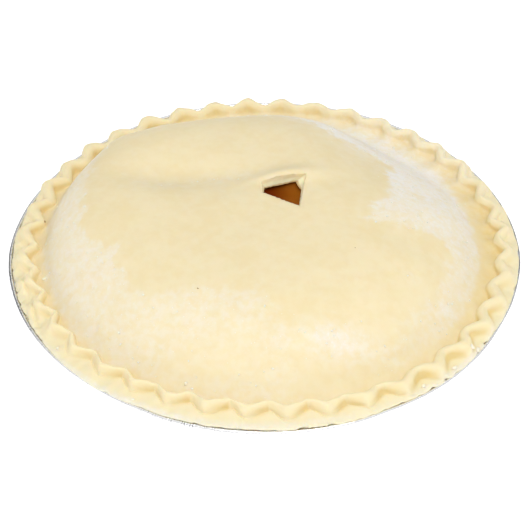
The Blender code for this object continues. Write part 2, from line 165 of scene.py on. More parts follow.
# Places round the dome, each an angle and half the width in degrees: where its foot is further in and its
# edge less round, where its corner is fuller, where its foot is cut flatter, and where its slope is softer.
LEFT_FOOT = (195.0, 45.0)
LEFT_FOOT_STEP = 1.5 * MM
LEFT_EDGE_STEP = 0.22
FAR_LEFT_CORNER = (155.0, 32.0)
CORNER_FLATNESS = 5.5
FAR_RIGHT_CUT = (50.0, 26.0)
CUT_DEPTH = 9.5 * MM
RIGHT_SLOPE = (26.0, 30.0)
SLOPE_FLATNESS = -1.6

# Soft forms in the lid: x, y, half length, half width (mm), turn (degrees) and height (mm).
LID_FORMS = (
    (-38, 36, 52, 24, -3, -2.6),
    (-42, 25, 36, 12, -2, -4.4),
    (-30, 98, 36, 16, 10, -6),
    (-82, 70, 13, 12, -45, 4.8),
    (36, 92, 24, 15, -22, 4),
    (52, 52, 34, 17, -43, -3.4),
    (12, 22, 19, 5.5, 10, 2.2),
    (72, -25, 26, 9, -12, -1),
    (18, -88, 20, 8, 0, 1),
)
# Low relief that only the surface shows, in the same form: dents, and small lumps under the dough.
LID_DENTS = (
    (9, 19.2, 14, 4.2, 8, 1.3),
    (-89, -56, 2, 1.1, -50, -0.9),
    (-87.4, -54.4, 2, 1, -50, 0.4),
    (-79, -67, 2, 1.1, 100, -0.8),
    (-77.4, -66.4, 2, 1, 100, 0.35),
    (-93, -24, 1.3, 1.1, 20, -0.30),
    (-53, -67, 1.2, 1, 0, -0.25),
    (-86, -58, 2.6, 1.6, 40, 0.30),
    (75.8, 19.5, 4, 3.4, 0, -0.30),
    (31, -101, 9, 2.2, 12, 0.35),
    (-4, -101, 12, 2.6, -4, 0.30),
    (58, -86, 10, 2.4, 40, 0.25),
)
# Folds in the thin dough outside the bar, in the same form: a groove and the ridge beside it.
FLANGE_FORMS = (
    (-115.9, -30.3, 7, 0.7, -70, -1.1),
    (-117.5, -30.9, 7, 1, -70, 0.8),
    (-109.3, -50.5, 9.5, 0.8, -70.5, -1.2),
    (-111.1, -51.1, 9.5, 1, -70.5, 0.9),
)
# The unevenness of rolled dough: a wavelength and a height, in mm.
LID_WAVES = ((24, 0.10), (9, 0.026), (4, 0.010))
DETAIL_FADE = (0.0, 0.25)  # over these shares of the dome's height, the relief fades in
SLOPE_STEP = 0.5 * MM

# The vent's outline at the top of the lid and at its underside, x and y in mm. Its far right corner keeps a
# small flap at the underside.
VENT_TOP = ((-1.1, 7.1), (17.3, -4.2), (19.4, 8.6), (21, 20.2), (21, 20.2), (-2, 16.2))
VENT_UNDER = ((-0.8, 7.6), (16.2, -3.4), (17.4, 8), (17.8, 12.6), (14.2, 18.2), (0.2, 14.6))
VENT_X, VENT_Y = 12.0 * MM, 7.2 * MM  # its middle
VENT_CUT_ABOVE, VENT_CUT_BELOW = 6.0 * MM, 7.0 * MM  # how far the cutting block reaches, from the lid's top
VENT_LEVELS = 16
VENT_EDGE_STEP = 0.7 * MM
CUT_SLOPE = (1.2 * MM, 1.4 * MM)  # how far the cut's slope would run on, under the lid and over it
CUT_ROUGHNESS = 0.10 * MM
CUT_WAVE = 2.2 * MM
LIP_DROP = 0.45 * MM  # how far the dough rounds down at the cut
LIP_WIDTH = 1.1 * MM
LIP_POWER = 1.5

# The hollow that the lid and the bottom crust close round, and the filling in it.
BOTTOM_CRUST = 3.5 * MM
HOLLOW_SHOULDER_RADIUS = 103.0 * MM
HOLLOW_CORNER_RADIUS = 109.5 * MM
HOLLOW_CORNER_DROP = 3.0 * MM
HOLLOW_FLOOR_RADIUS = 92.4 * MM
FILLING_CLEARANCE = 0.4 * MM
VENT_HOLLOW_DEPTH = 2.2 * MM
VENT_HOLLOW_RADIUS = 22.0 * MM
FILLING_WAVE = 11.0 * MM
FILLING_RELIEF = 0.25 * MM

# The thin rim isn't quite round: an angle, and how far it is bent outwards there, in mm.
RIM_BENDS = (
    (0, 0), (14, 0), (80, -0.4), (108, -0.6), (135, -1.6), (150, -1.3), (165, -0.6), (180, 0),
    (200, -0.7), (230, -1.2), (242, -0.8), (250, 0.3), (262, 1), (276, 1.3), (287, 1), (297, 0),
    (310, 0), (322, -0.7), (334, -1.5), (343, -1),
)
BEND_START = (118.0 * MM, 124.5 * MM)  # the bends grow between these radii

# Columns of points in one crimp, from the middle of the lid outwards.
FEW, MORE, MOST = 6, 12, 24
# Rings on the lid: columns, the first and the last place as shares of the foot's radius, and how many.
LID_RINGS = ((FEW, 0.006, 0.25, 46), (FEW, 0.262, 0.60, 29), (MORE, 0.61, 0.86, 28),
             (MOST, 0.869, 0.945, 10))
HOLLOW_RINGS = ((0.02, 0.30, 22), (0.34, 1.0, 13))  # in the same way, over the filling
SHARP_ANGLE = math.radians(62.0)


# --- small tools ---


def smooth_step(value, low, high):
    share = np.clip((value - low) / (high - low), 0.0, 1.0)
    return share * share * (3.0 - 2.0 * share)


def blend(pair, share):
    return pair[0] + (pair[1] - pair[0]) * share


def rows_at(table, angle):
    """The columns of a table whose rows start with an angle, at each angle, eased from row to row."""
    first = table[0]
    rows = np.array([*table, (first[0] + 360.0, *first[1:])])
    degrees = np.degrees(angle) % 360.0
    place = np.clip(np.searchsorted(rows[:, 0], degrees, side="right") - 1, 0, len(table) - 1)
    share = (degrees - rows[place, 0]) / (rows[place + 1, 0] - rows[place, 0])
    eased = share * share * (3.0 - 2.0 * share)
    return (rows[place, 1:] + (rows[place + 1, 1:] - rows[place, 1:]) * eased[:, None]).T


class Waves:
    """Smooth seeded unevenness: many plane waves of about one wavelength, in random directions."""

    def __init__(self, seed, wavelength, count=28):
        draw = np.random.default_rng(seed)
        directions = draw.normal(size=(count, 3))
        directions /= np.linalg.norm(directions, axis=1)[:, None]
        self.waves = directions * (math.tau / wavelength * draw.uniform(0.6, 1.5, count))[:, None]
        self.phases = draw.uniform(0.0, math.tau, count)
        self.size = math.sqrt(2.0 / count)

    def at(self, x, y, z=0.0):
        places = np.stack(np.broadcast_arrays(x, y, z), axis=-1)
        return self.size * np.cos(places @ self.waves.T + self.phases).sum(axis=-1)


# --- the rule that the crimps follow, for arrays of turns ---


def angle_at(turn):
    even_angle = FIRST_CRIMP + turn * CRIMP_PITCH
    return even_angle + np.radians(rows_at(CRIMP_DRIFT, even_angle)[0])


def bend_at(turn):
    """0 at an inner bend and 1 at an outer one: nearly straight runs with rounded bends."""
    swing = np.cos(math.tau * turn)
    straight = 0.5 - np.arcsin(BEND_SHARPNESS * swing) / (2.0 * math.asin(BEND_SHARPNESS))
    rounded = (1.0 - swing) / 2.0
    return np.clip((straight + rounded) / 2.0, 0.0, 1.0)


def pinched_bends(turn):
    """As bend_at, for the bar's two edges: each is round on the outside of a bend and pinched inside it."""
    inner = 1.0 - np.abs(np.cos(math.pi * turn))
    outer = np.abs(np.sin(math.pi * turn))
    return inner, outer


def hand_wobble(seed):
    """A function of turn that wanders between -1 and 1, as crimps pressed by hand do from bend to bend."""
    draw = random.Random(seed)
    knots = np.array([draw.uniform(-1.0, 1.0) for _ in range(2 * CRIMPS)])

    def wobble(turn):
        place = (2.0 * turn) % (2 * CRIMPS)
        first = place.astype(int) % (2 * CRIMPS)
        share = smooth_step(place - np.floor(place), 0.0, 1.0)
        return knots[first] * (1.0 - share) + knots[(first + 1) % (2 * CRIMPS)] * share

    return wobble


radius_wobble = hand_wobble(RADIUS_SEED)
height_wobble = hand_wobble(HEIGHT_SEED)
skirt_wobble = hand_wobble(SKIRT_SEED)


def near_direction(angle, place):
    direction, half_width = place
    away = (np.degrees(angle) - direction + 180.0) % 360.0 - 180.0
    return np.exp(-((away / half_width) ** 2))


def near_places(angle, rows):
    """The sum of these rows' third numbers, each near its place: an angle and half the width in degrees."""
    return sum(row[2] * near_direction(angle, row[:2]) for row in rows)


def foot_radius(angle):
    left_step = LEFT_FOOT_STEP * near_direction(angle, LEFT_FOOT)
    cut = CUT_DEPTH * near_direction(angle, FAR_RIGHT_CUT)
    return LID_FOOT_RADIUS - LID_FOOT_LEAN * np.cos(angle) - left_step - cut


def rim_bend(angle):
    return rows_at(RIM_BENDS, angle)[0] * MM


# --- the lid's surface ---


def soft_form(form, x, y):
    """One smooth bump or dip, long in one direction, from a row of sizes in mm and a turn in degrees."""
    middle_x, middle_y, half_length, half_width, turn, height = form
    cos_turn = math.cos(math.radians(turn))
    sin_turn = math.sin(math.radians(turn))
    away_x = x / MM - middle_x
    away_y = y / MM - middle_y
    along = (away_x * cos_turn + away_y * sin_turn) / half_length
    across = (away_y * cos_turn - away_x * sin_turn) / half_width
    return height * MM * np.exp(-along * along - across * across)


def forms_at(table, x, y):
    return sum(soft_form(form, x, y) for form in table)


def dome_share(x, y):
    """1 on the lid's flat top and 0 at its foot."""
    angle = np.arctan2(y, x)
    share = np.clip(np.hypot(x, y) / foot_radius(angle), 0.0, 1.0)
    corner = CORNER_FLATNESS * near_direction(angle, FAR_LEFT_CORNER)
    slope = SLOPE_FLATNESS * near_direction(angle, RIGHT_SLOPE)
    edge = DOME_EDGE - LEFT_EDGE_STEP * near_direction(angle, LEFT_FOOT)
    return (1.0 - share ** (DOME_FLATNESS + corner + slope)) ** edge


def lid_rise(x, y):
    dome = dome_share(x, y)
    forms = forms_at(LID_FORMS, x, y) * dome**FORM_FADE
    return LID_FOOT_RISE + (DOME_RISE - LID_FOOT_RISE) * dome + forms


lid_waves = [(Waves(LID_SEED + place, length * MM), height * MM)
             for place, (length, height) in enumerate(LID_WAVES)]


def edge_distance(outline, x, y):
    """How far each place is from a closed outline of corners in mm, and whether it is inside."""
    corners = np.array(outline) * MM
    nearest = np.full(np.shape(x), np.inf)
    inside = np.zeros(np.shape(x), bool)
    for start, end in zip(corners, np.roll(corners, -1, axis=0)):
        run = end - start
        length = max(float(run @ run), 1e-12)
        share = np.clip(((x - start[0]) * run[0] + (y - start[1]) * run[1]) / length, 0.0, 1.0)
        nearest = np.minimum(nearest, np.hypot(x - start[0] - share * run[0], y - start[1] - share * run[1]))
        crosses = (start[1] > y) != (end[1] > y)
        slope = run[0] / run[1] if run[1] else 0.0
        inside ^= crosses & (x < start[0] + (y - start[1]) * slope)
    return nearest, inside


def lid_detail(x, y):
    """The low relief on top of the lid's form, which fades at its foot."""
    waves = sum(height * wave.at(x, y) for wave, height in lid_waves)
    dents = forms_at(LID_DENTS, x, y)
    nearest, inside = edge_distance(VENT_TOP, x, y)
    lip = LIP_DROP * np.where(inside, 1.0, np.exp(-((nearest / LIP_WIDTH) ** LIP_POWER)))
    return (waves + dents) * smooth_step(dome_share(x, y), *DETAIL_FADE) - lip


def lid_slope(x, y):
    along_x = (lid_rise(x + SLOPE_STEP, y) - lid_rise(x - SLOPE_STEP, y)) / (2.0 * SLOPE_STEP)
    along_y = (lid_rise(x, y + SLOPE_STEP) - lid_rise(x, y - SLOPE_STEP)) / (2.0 * SLOPE_STEP)
    return np.hypot(along_x, along_y)


def under_lid(x, y, clearance):
    """The height of the lid's underside, or of what lies that much lower, measured square to the dough."""
    thickness = LID_THICKNESS + clearance
    return FLANGE_TOP + lid_rise(x, y) - thickness * np.hypot(1.0, lid_slope(x, y))


# --- skins: rings of points, and the faces between them ---


class Skin:
    """Rings of points, each joined to the next, which may have a whole number of times as many points."""

    def __init__(self):
        self.points = []
        self.faces = []
        self.count = 0

    def ring(self, x, y, z):
        places = np.stack(np.broadcast_arrays(x, y, z), axis=-1)
        self.points.append(places)
        self.count += len(places)
        return np.arange(self.count - len(places), self.count)

    def join(self, ring_a, ring_b):
        few, many = sorted((ring_a, ring_b), key=len)
        ratio = len(many) // len(few)
        next_few = np.roll(few, -1)
        arc = [np.roll(many, -step)[::ratio] for step in range(ratio + 1)]
        turned = len(ring_b) < len(ring_a)
        if ratio == 1:
            made = [(few, arc[0], arc[1], next_few)]
        else:
            middle = (ratio + 1) // 2
            made = [(few, arc[middle], next_few)]
            for step in range(ratio):
                corner = few if step < middle else next_few
                made.append((corner, arc[step], arc[step + 1]))
        for corners in made:
            order = corners[::-1] if turned else corners
            self.faces += np.stack(order, axis=-1).tolist()

    def close(self, ring, centre, first):
        """A fan from a ring to one point, as the first or the last ring of a skin."""
        point = self.ring(*(np.array([value]) for value in centre))[0]
        nexts = np.roll(ring, -1)
        middle = np.full(len(ring), point)
        corners = (middle, ring, nexts) if first else (nexts, ring, middle)
        self.faces += np.stack(corners, axis=-1).tolist()

    def stack(self, rings, first_centre, last_centre, inward=False):
        """A closed skin over these rings of x, y and z."""
        start = len(self.faces)
        made = [self.ring(*ring) for ring in rings]
        self.close(made[0], first_centre, first=True)
        for ring_a, ring_b in zip(made, made[1:]):
            self.join(ring_a, ring_b)
        self.close(made[-1], last_centre, first=False)
        if inward:
            self.faces[start:] = [face[::-1] for face in self.faces[start:]]

    def mesh(self, name):
        mesh = bpy.data.meshes.new(name)
        mesh.from_pydata(np.concatenate(self.points).tolist(), [], self.faces)
        mesh.shade_smooth()
        return mesh


def turns_of(columns):
    return np.arange(CRIMPS * columns) / columns


def circle(turn, radius, z):
    angle = angle_at(turn)
    return radius * np.cos(angle), radius * np.sin(angle), z


def spline_rings(controls, steps):
    """Rings on a smooth curve through rings of radius and height. The first and the last only steer it."""
    rings = []
    for place, count in enumerate(steps):
        p0, p1, p2, p3 = controls[place:place + 4]
        knots = [np.zeros(p0.shape[1])]
        for low, high in ((p0, p1), (p1, p2), (p2, p3)):
            knots.append(knots[-1] + np.sqrt(np.maximum(np.hypot(*(high - low)), 1e-6)))
        t0, t1, t2, t3 = knots
        for step in range(count):
            t = t1 + (t2 - t1) * step / count
            a1 = p0 * (t1 - t) / (t1 - t0) + p1 * (t - t0) / (t1 - t0)
            a2 = p1 * (t2 - t) / (t2 - t1) + p2 * (t - t1) / (t2 - t1)
            a3 = p2 * (t3 - t) / (t3 - t2) + p3 * (t - t2) / (t3 - t2)
            b1 = a1 * (t2 - t) / (t2 - t0) + a2 * (t - t0) / (t2 - t0)
            b2 = a2 * (t3 - t) / (t3 - t1) + a3 * (t - t1) / (t3 - t1)
            rings.append(b1 * (t2 - t) / (t2 - t1) + b2 * (t - t1) / (t2 - t1))
    return rings


# --- the pastry ---


def lid_rings():
    """From the middle of the lid nearly to its foot, closest together round the vent and on the slope."""
    rings = []
    for columns, *places in LID_RINGS:
        turn = turns_of(columns)
        foot = foot_radius(angle_at(turn))
        for share in np.linspace(*places):
            x, y, _ = circle(turn, share * foot, 0.0)
            rings.append((x, y, FLANGE_TOP + lid_rise(x, y) + lid_detail(x, y)))
    return rings


def soften(values, passes):
    """Eases the values of neighbouring columns together."""
    for _ in range(passes):
        values = (np.roll(values, 1) + 2.0 * values + np.roll(values, -1)) / 4.0
    return values


def rounded_bends(values, angle):
    """Rounds the crimps' bends a little, and more at the back."""
    crisp = soften(values, CRISP_PASSES)
    return crisp + (soften(values, ROUND_PASSES) - crisp) * smooth_step(np.sin(angle), *ROUND_FADE)


def rim_rise(radius, angle):
    """How high the rolled rim's top is over the flange at a place."""
    away = np.clip(radius - rim_bend(angle) - RIM_RADIUS + ROLL_RADIUS, -ROLL_RADIUS, ROLL_RADIUS)
    return np.maximum(np.sqrt(ROLL_RADIUS**2 - away**2) - SHEET / 2.0, 0.0)


def skewed(turn, share):
    """Turns moved within each crimp, so that this share of it runs outwards."""
    whole = np.floor(turn)
    part = turn - whole
    return whole + np.where(part < share, 0.5 * part / share, 0.5 + 0.5 * (part - share) / (1.0 - share))


def bar_edges(turn, place, sizes, tip):
    """The radii of the bar's inner and outer edges."""
    in_low, in_high, out_low, out_high = (size * MM for size in sizes)
    angle = angle_at(turn)
    bend = bend_at(place)
    round_tips, sharp_tips = pinched_bends(place)
    inner_bend = (1.0 - PINCH_SHARE) * bend + PINCH_SHARE * (round_tips + tip * (sharp_tips - round_tips))
    outer_pinch = blend((NEAR_PINCH, PINCH_SHARE), smooth_step(np.sin(angle), *NEAR_PINCH_FADE))
    outer_bend = bend + outer_pinch * (sharp_tips - bend)
    wobble = BAR_WOBBLE * radius_wobble(turn)
    inner = rounded_bends(blend((in_low, in_high), inner_bend), angle) + wobble
    outer = rounded_bends(blend((out_low, out_high), outer_bend), angle) + wobble
    return inner, np.minimum(outer, BAR_REACH)


def skirt_edge(turn, reach, outer):
    """The radius of the skirt's ragged edge: about this reach in mm, and always past the bar."""
    angle = angle_at(turn)
    ragged = reach * MM + SKIRT_WOBBLE * skirt_wobble(turn)
    skirt = np.minimum(np.maximum(ragged, outer + SKIRT_WIDTH), SKIRT_LIMIT) + rim_bend(angle)
    torn = RAGGED_EDGE + TORN_EDGE * near_direction(angle, TORN_SIDE)
    torn = torn + LUMPY_EDGE * near_direction(angle, LUMPY_SIDE)
    return skirt + torn * np.minimum(edge_waves.at(*circle(turn, RIM_RADIUS, 0.0)), 0.0)


def crimp_controls(turn):
    """The crimped edge's section, in radius and rise: from the lid, over the bar, to under the skirt."""
    angle = angle_at(turn)
    *bar, reach, pocket, flank, outward, tip = rows_at(EDGE_SIZES, angle)
    place = skewed(turn, outward)
    bend = bend_at(place)
    inner, outer = bar_edges(turn, place, bar, tip)
    crest = blend(BAR_CREST, bend) + BAR_WOBBLE * height_wobble(turn)
    rounding = BAR_ROUND_SHARE * (outer - inner)
    foot = np.minimum(foot_radius(angle), inner - TIP_STEP)
    corner = foot - FOOT_CORNER
    valley = np.maximum(inner - VALLEY_STEP, foot + VALLEY_WIDTH)
    pockets = pocket * MM - POCKET_DROP * bend
    skirt = skirt_edge(turn, reach, outer)
    flank_foot = outer + np.minimum(flank * MM, FLANK_SHARE * (skirt - outer))
    fold = flank_foot + np.minimum(FOLD_REACH, FOLD_SHARE * (skirt - flank_foot))
    folded = 1.0 - smooth_step(flank, *FOLD_FLANKS)
    folds = pockets * (1.0 - FOLD_SLOPE * (1.0 - folded))
    folds = folds + folded * blend(FOLD_RISE, bend_at(place - FOLD_LAG))
    under = rim_rise(skirt, angle) + SKIRT_CLEARANCE + near_places(angle, SKIRT_LIFTS)
    slope = [(share * foot_radius(angle), lid_rise(*circle(turn, share * foot_radius(angle), 0.0)[:2]))
             for share in SLOPE_PLACES]
    section = (
        *slope,
        (corner, lid_rise(*circle(turn, corner, 0.0)[:2]) + FOOT_LIFT),
        (valley, blend(VALLEY_RISE, bend)),
        (inner, crest - BAR_WALL_DROP[0]),
        (inner + rounding, crest - BAR_TOP_DROP[0]),
        ((inner + outer) / 2.0, crest),
        (outer - rounding, crest - BAR_TOP_DROP[1]),
        (outer, np.maximum(crest - BAR_WALL_DROP[1], pockets)),
        (flank_foot, pockets),
        (fold, np.minimum(folds, FOLD_TOP)),
        (skirt - SKIRT_ROUNDING, under + SKIRT_THICKNESS),
        (skirt, under + 0.5 * SKIRT_THICKNESS),
        (skirt - SKIRT_ROUNDING, under),
        (np.full_like(foot, SKIRT_SEAT), np.full_like(foot, GAP)),
        (np.full_like(foot, SKIRT_SEAT - SEAT_STEER), np.full_like(foot, GAP)),
    )
    return [np.array(place) for place in section]


# Into how many rings each span of that section is cut.
CRIMP_STEPS = (4, 4, 5, 4, 3, 3, 4, 5, 5, 5, 2, 2, 3)
UNDER_SPANS = 3  # how many of its last spans are the skirt's edge and underside
LID_CORNER, INNER_WALL, BAR_MIDDLE, OUTER_WALL = 2, 4, 6, 8  # the places of these in that section
edge_waves = Waves(EDGE_SEED, EDGE_WAVE)
hand_waves = [Waves(seed, length) for seed, length in zip(HAND_SEEDS, HAND_WAVES)]


def crimp_rings():
    """The crimped edge's rings, with the hand's unevenness on top and none underneath."""
    turn = turns_of(MOST)
    rings = []
    sections = spline_rings(crimp_controls(turn), CRIMP_STEPS)
    under = sum(CRIMP_STEPS[:-UNDER_SPANS])
    for place, (radius, rise) in enumerate(sections):
        x, y, z = circle(turn, radius, FLANGE_TOP + rise)
        weight = 0.0 if place >= under else smooth_step(radius, *RELIEF_START)
        relief = HAND_RELIEF * weight
        out = relief * (hand_waves[0].at(x, y, z) + FINE_RELIEF[0] * hand_waves[2].at(x, y, z))
        up = relief * (hand_waves[1].at(x, y, z) + FINE_RELIEF[1] * hand_waves[2].at(y, z, x))
        up = up + weight * forms_at(FLANGE_FORMS, x, y)
        rings.append(circle(turn, radius + out, z + up))
    return rings


def beside_wall(radius, clearance):
    """A radius on a slope like the tin's wall, moved in by a clearance measured square to the wall."""
    return radius - clearance * math.hypot(1.0, WALL_LEAN)


def bottom_rings():
    """The underside, which lies on the flange and then follows the tin's wall down to its base."""
    seat = circle(turns_of(MOST), SKIRT_SEAT, FLANGE_TOP + GAP)
    mouth = circle(turns_of(MORE), beside_wall(MOUTH_RADIUS + GAP * WALL_LEAN, GAP), FLANGE_TOP + GAP)
    base = circle(turns_of(MORE), beside_wall(BASE_RADIUS - SHEET + GAP * WALL_LEAN, GAP), SHEET + GAP)
    middle = circle(turns_of(FEW), 0.5 * BASE_RADIUS, SHEET + GAP)
    return [seat, mouth, base, middle]


def hollow_rings(clearance, top_drop):
    """Rings of the hollow's wall, or of what fills it with a clearance, from under the lid to the floor."""
    turn = turns_of(FEW)
    rings = []
    for share in np.concatenate([np.linspace(*places) for places in HOLLOW_RINGS]):
        x, y, _ = circle(turn, share * (HOLLOW_SHOULDER_RADIUS - clearance), 0.0)
        rings.append((x, y, under_lid(x, y, clearance) - top_drop(x, y)))
    rings.append(circle(turn, beside_wall(HOLLOW_CORNER_RADIUS, clearance), FLANGE_TOP - HOLLOW_CORNER_DROP))
    floor = SHEET + GAP + BOTTOM_CRUST + clearance
    rings.append(circle(turn, beside_wall(HOLLOW_FLOOR_RADIUS, clearance), floor))
    return rings


def no_drop(x, y):
    return 0.0 * x


def centre_of(height):
    return 0.0, 0.0, float(height)


def make_vent_cutter():
    """A block through the lid, a little rough on its sides, which narrows towards its underside."""
    top = FLANGE_TOP + float(lid_rise(VENT_X, VENT_Y))
    levels = np.linspace(top + VENT_CUT_ABOVE, top - VENT_CUT_BELOW, VENT_LEVELS)
    corners_top = np.array(VENT_TOP) * MM
    corners_under = np.array(VENT_UNDER) * MM
    lengths = np.hypot(*(np.roll(corners_top, -1, axis=0) - corners_top).T)
    steps = np.maximum(np.round(lengths / VENT_EDGE_STEP).astype(int), 2)
    rough = [Waves(seed, CUT_WAVE) for seed in CUT_SEEDS]
    cutter = Skin()
    rings = []
    for level in levels:
        share = smooth_step(level, top - LID_THICKNESS - CUT_SLOPE[0], top + CUT_SLOPE[1])
        corners = corners_under + (corners_top - corners_under) * share
        places = np.concatenate([
            start + (end - start) * (np.arange(count) / count)[:, None]
            for start, end, count in zip(corners, np.roll(corners, -1, axis=0), steps)])
        x = places[:, 0] + CUT_ROUGHNESS * rough[0].at(places[:, 0], places[:, 1], level)
        y = places[:, 1] + CUT_ROUGHNESS * rough[1].at(places[:, 0], places[:, 1], level)
        rings.append((x, y, np.full(len(x), level)))
    high = (VENT_X, VENT_Y, levels[0])
    low = (VENT_X, VENT_Y, levels[-1])
    cutter.stack(rings, high, low)
    return bpy.data.objects.new("vent_cutter", cutter.mesh("vent_cutter"))


def show(obj):
    bpy.context.scene.collection.objects.link(obj)
    return obj


def make_pastry():
    skin = Skin()
    outside = lid_rings() + crimp_rings() + bottom_rings()
    lid_middle = centre_of(FLANGE_TOP + lid_rise(0.0, 0.0) + lid_detail(0.0, 0.0))
    skin.stack(outside, lid_middle, centre_of(SHEET + GAP))
    hollow = hollow_rings(0.0, no_drop)
    hollow_top = centre_of(under_lid(0.0, 0.0, 0.0))
    skin.stack(hollow, hollow_top, centre_of(SHEET + GAP + BOTTOM_CRUST), inward=True)
    pastry = show(bpy.data.objects.new("pastry", skin.mesh("pastry")))
    cutter = show(make_vent_cutter())
    cut = pastry.modifiers.new("vent", "BOOLEAN")
    cut.operation = "DIFFERENCE"
    cut.solver = "MANIFOLD"
    cut.object = cutter
    bpy.context.view_layer.update()
    made = bpy.data.meshes.new_from_object(pastry.evaluated_get(bpy.context.evaluated_depsgraph_get()))
    pastry.modifiers.clear()
    pastry.data = made
    bpy.data.objects.remove(cutter, do_unlink=True)
    made.shade_smooth()
    made.set_sharp_from_angle(angle=SHARP_ANGLE)
    return pastry


# --- where the dough is floured, fresh or cut ---

# The edge of the bare dough on the lid, in mm. Flour lies outside it.
BARE_TOP = (
    (-80, 68), (-88, 24), (-89, -13), (-73, -31), (-67, -46), (-64, -57), (-54, -62),
    (-30, -62.5), (-3, -62), (8.5, -84), (12, -92), (16, -112), (52, -100), (58, -84),
    (63.5, -69), (78.5, -54), (86, -38), (91, -24), (88, -15), (70.6, -14.4), (46, -14),
    (61, 8), (62, 33), (66, 51), (43, 66), (27, 76), (15, 88), (-20, 92), (-55, 88),
)
# Each row is an angle in degrees, how strong the film of flour is there outside that edge, where it ends in
# mm, over how many mm it fades out, and the share of it that goes on to the bar.
FLOUR_SIZES = (
    (0, 0.62, 104, 1.4, 0.1), (18, 0.80, 104, 3, 0.15), (38, 0.84, 106, 5.5, 0.35),
    (62, 0.80, 109, 4, 0.4), (80, 0.42, 110, 3, 0.3), (120, 0.14, 108, 2, 0.3),
    (150, 0.22, 109, 1.2, 0.2), (175, 0.40, 109.3, 0.8, 0.1), (200, 0.42, 109.8, 0.8, 0.1),
    (230, 0.30, 110.3, 1, 0.2), (258, 0.24, 110.6, 1.5, 0.4), (285, 0.21, 110.6, 1.5, 0.4),
    (305, 0.16, 108, 1.6, 0.2), (335, 0.34, 107.2, 1.4, 0.1), (349, 0.48, 107, 1.4, 0.1),
)
# More or less flour in places: x, y, half length, half width (mm), turn (degrees) and strength.
FLOUR_PATCHES = (
    (-20, -72, 16, 8, 4, 0.08),
    (33, -86, 19, 7, 4, 0.62),
    (-24, -96, 30, 9, 0, -0.16),
    (75.8, 19.5, 4, 3.4, 0, -0.48),
    (-50, 17, 22, 5.5, 6, 0.14),
    (-16, 22, 18, 5, 8, 0.14),
    (69, -46, 4, 2, 0, 0.25),
    (87, -55, 4, 3, 0, 0.35),
    (80, 60, 18, 9, -50, 0.20),
)
# The softness of that edge: an angle and a width in mm.
FLOUR_EDGE_WIDTH = ((0, 2.7), (60, 2.6), (110, 1.6), (170, 1.1), (205, 1.2), (238, 2.8), (270, 3.4),
                    (320, 3.2))
# How that edge wanders: wavelengths and sizes.
FLOUR_WANDER = ((11 * MM, 1.1 * MM), (4 * MM, 0.7 * MM), (1.6 * MM, 0.25 * MM))
END_WANDER = 0.6  # how much of the longest of these the flour's outer end has
SHADE_WIDTH = (2.8 * MM, 3.4 * MM)  # how wide the painted amber shade is inside and outside the bar
SHADE_DROP = (0.5 * MM, 3.6 * MM)  # the painted shade deepens between these depths under the crest
VALLEY_SHADE = (0.4, 1.0)  # the painted shade's strength beside an inner and an outer bend
POCKET_SHADE = (0.2, 1.0)  # its strength beside the runs outwards and back, where the crimps lean over
LEAN_START = 0.06
TURN_BACK = 0.2  # over what share of a crimp it turns back
VALLEY_FADE = 1.2 * MM  # over this the painted shade fades in from the lid's foot
POCKET_POWER = 0.8
FRESH_START, FRESH_END = 0.8 * MM, 0.6 * MM  # inside and outside the bar's inner wall
# How strong the painted amber shade in the pinches is: an angle, then for the valleys inside the bar and for
# the pockets outside it.
SHADE_SIDES = ((0, 0.7, 0.25), (60, 0.6, 0.2), (95, 0.6, 0.3), (160, 0.8, 0.3), (215, 0.8, 0.7),
              (250, 0.8, 1.1), (320, 0.8, 1.7))
# Painted shade in the bare valley beside the lid's right foot: an angle and half the width in degrees,
# between which radii it fades in, and how strong it is.
SHADED_FOOT_VALLEY = (8.0, 42.0)
FOOT_SHADE_START = (103.0 * MM, 112.0 * MM)
FOOT_SHADE_STRENGTH = 0.85
# Where the thin edge of the dough is floured: an angle, half the width in degrees, and how much.
SKIRT_FLOUR = ((232, 34, 0.5), (275, 20, 0.25), (318, 18, 0.5))
SKIRT_FLOUR_START = (122.5 * MM, 125.0 * MM)
# Flour along the edge of the lid's flat top at the back: an angle and half the width in degrees, at what
# share of the dome's height and over how much of it, and how strong.
BACK_FLOUR = (92.0, 50.0)
BACK_FLOUR_DOME = (0.6, 0.13)
BACK_FLOUR_STRENGTH = 0.5
# The cut dough: from how far under the lid's surface, and out to which radius it is looked for.
CUT_START = 0.8 * MM
CUT_REACH = 0.1


def set_attribute(mesh, name, values):
    attribute = mesh.attributes.new(name, "FLOAT", "POINT")
    attribute.data.foreach_set("value", np.ascontiguousarray(values, dtype=np.float32))


def mesh_points(mesh):
    places = np.zeros(3 * len(mesh.vertices))
    mesh.vertices.foreach_get("co", places)
    return places.reshape(-1, 3).T


def flour_at(x, y):
    """How much flour lies on the lid at each place, from 0 to about 1."""
    angle = np.arctan2(y, x)
    nearest, inside = edge_distance(BARE_TOP, x, y)
    signed = np.where(inside, -nearest, nearest) + sum(size * waves.at(x, y) for waves, size in wanders)
    width = rows_at(FLOUR_EDGE_WIDTH, angle)[0] * MM
    outside = smooth_step(signed / width, -1.0, 1.0)
    strength, end, width, rest = rows_at(FLOUR_SIZES, angle)
    patches = sum(soft_form(patch, x, y) / MM for patch in FLOUR_PATCHES)
    back = np.exp(-(((dome_share(x, y) - BACK_FLOUR_DOME[0]) / BACK_FLOUR_DOME[1]) ** 2))
    patches = patches + BACK_FLOUR_STRENGTH * back * near_direction(angle, BACK_FLOUR)
    away = np.hypot(x, y) + END_WANDER * wanders[0][1] * wanders[0][0].at(x, y) - end * MM
    fade = 1.0 - (1.0 - rest) * smooth_step(away / (width * MM), -1.0, 1.0)
    return np.clip(outside * strength + patches, 0.0, 1.0) * fade


wanders = [(Waves(FLOUR_SEED + place, length), size) for place, (length, size) in enumerate(FLOUR_WANDER)]


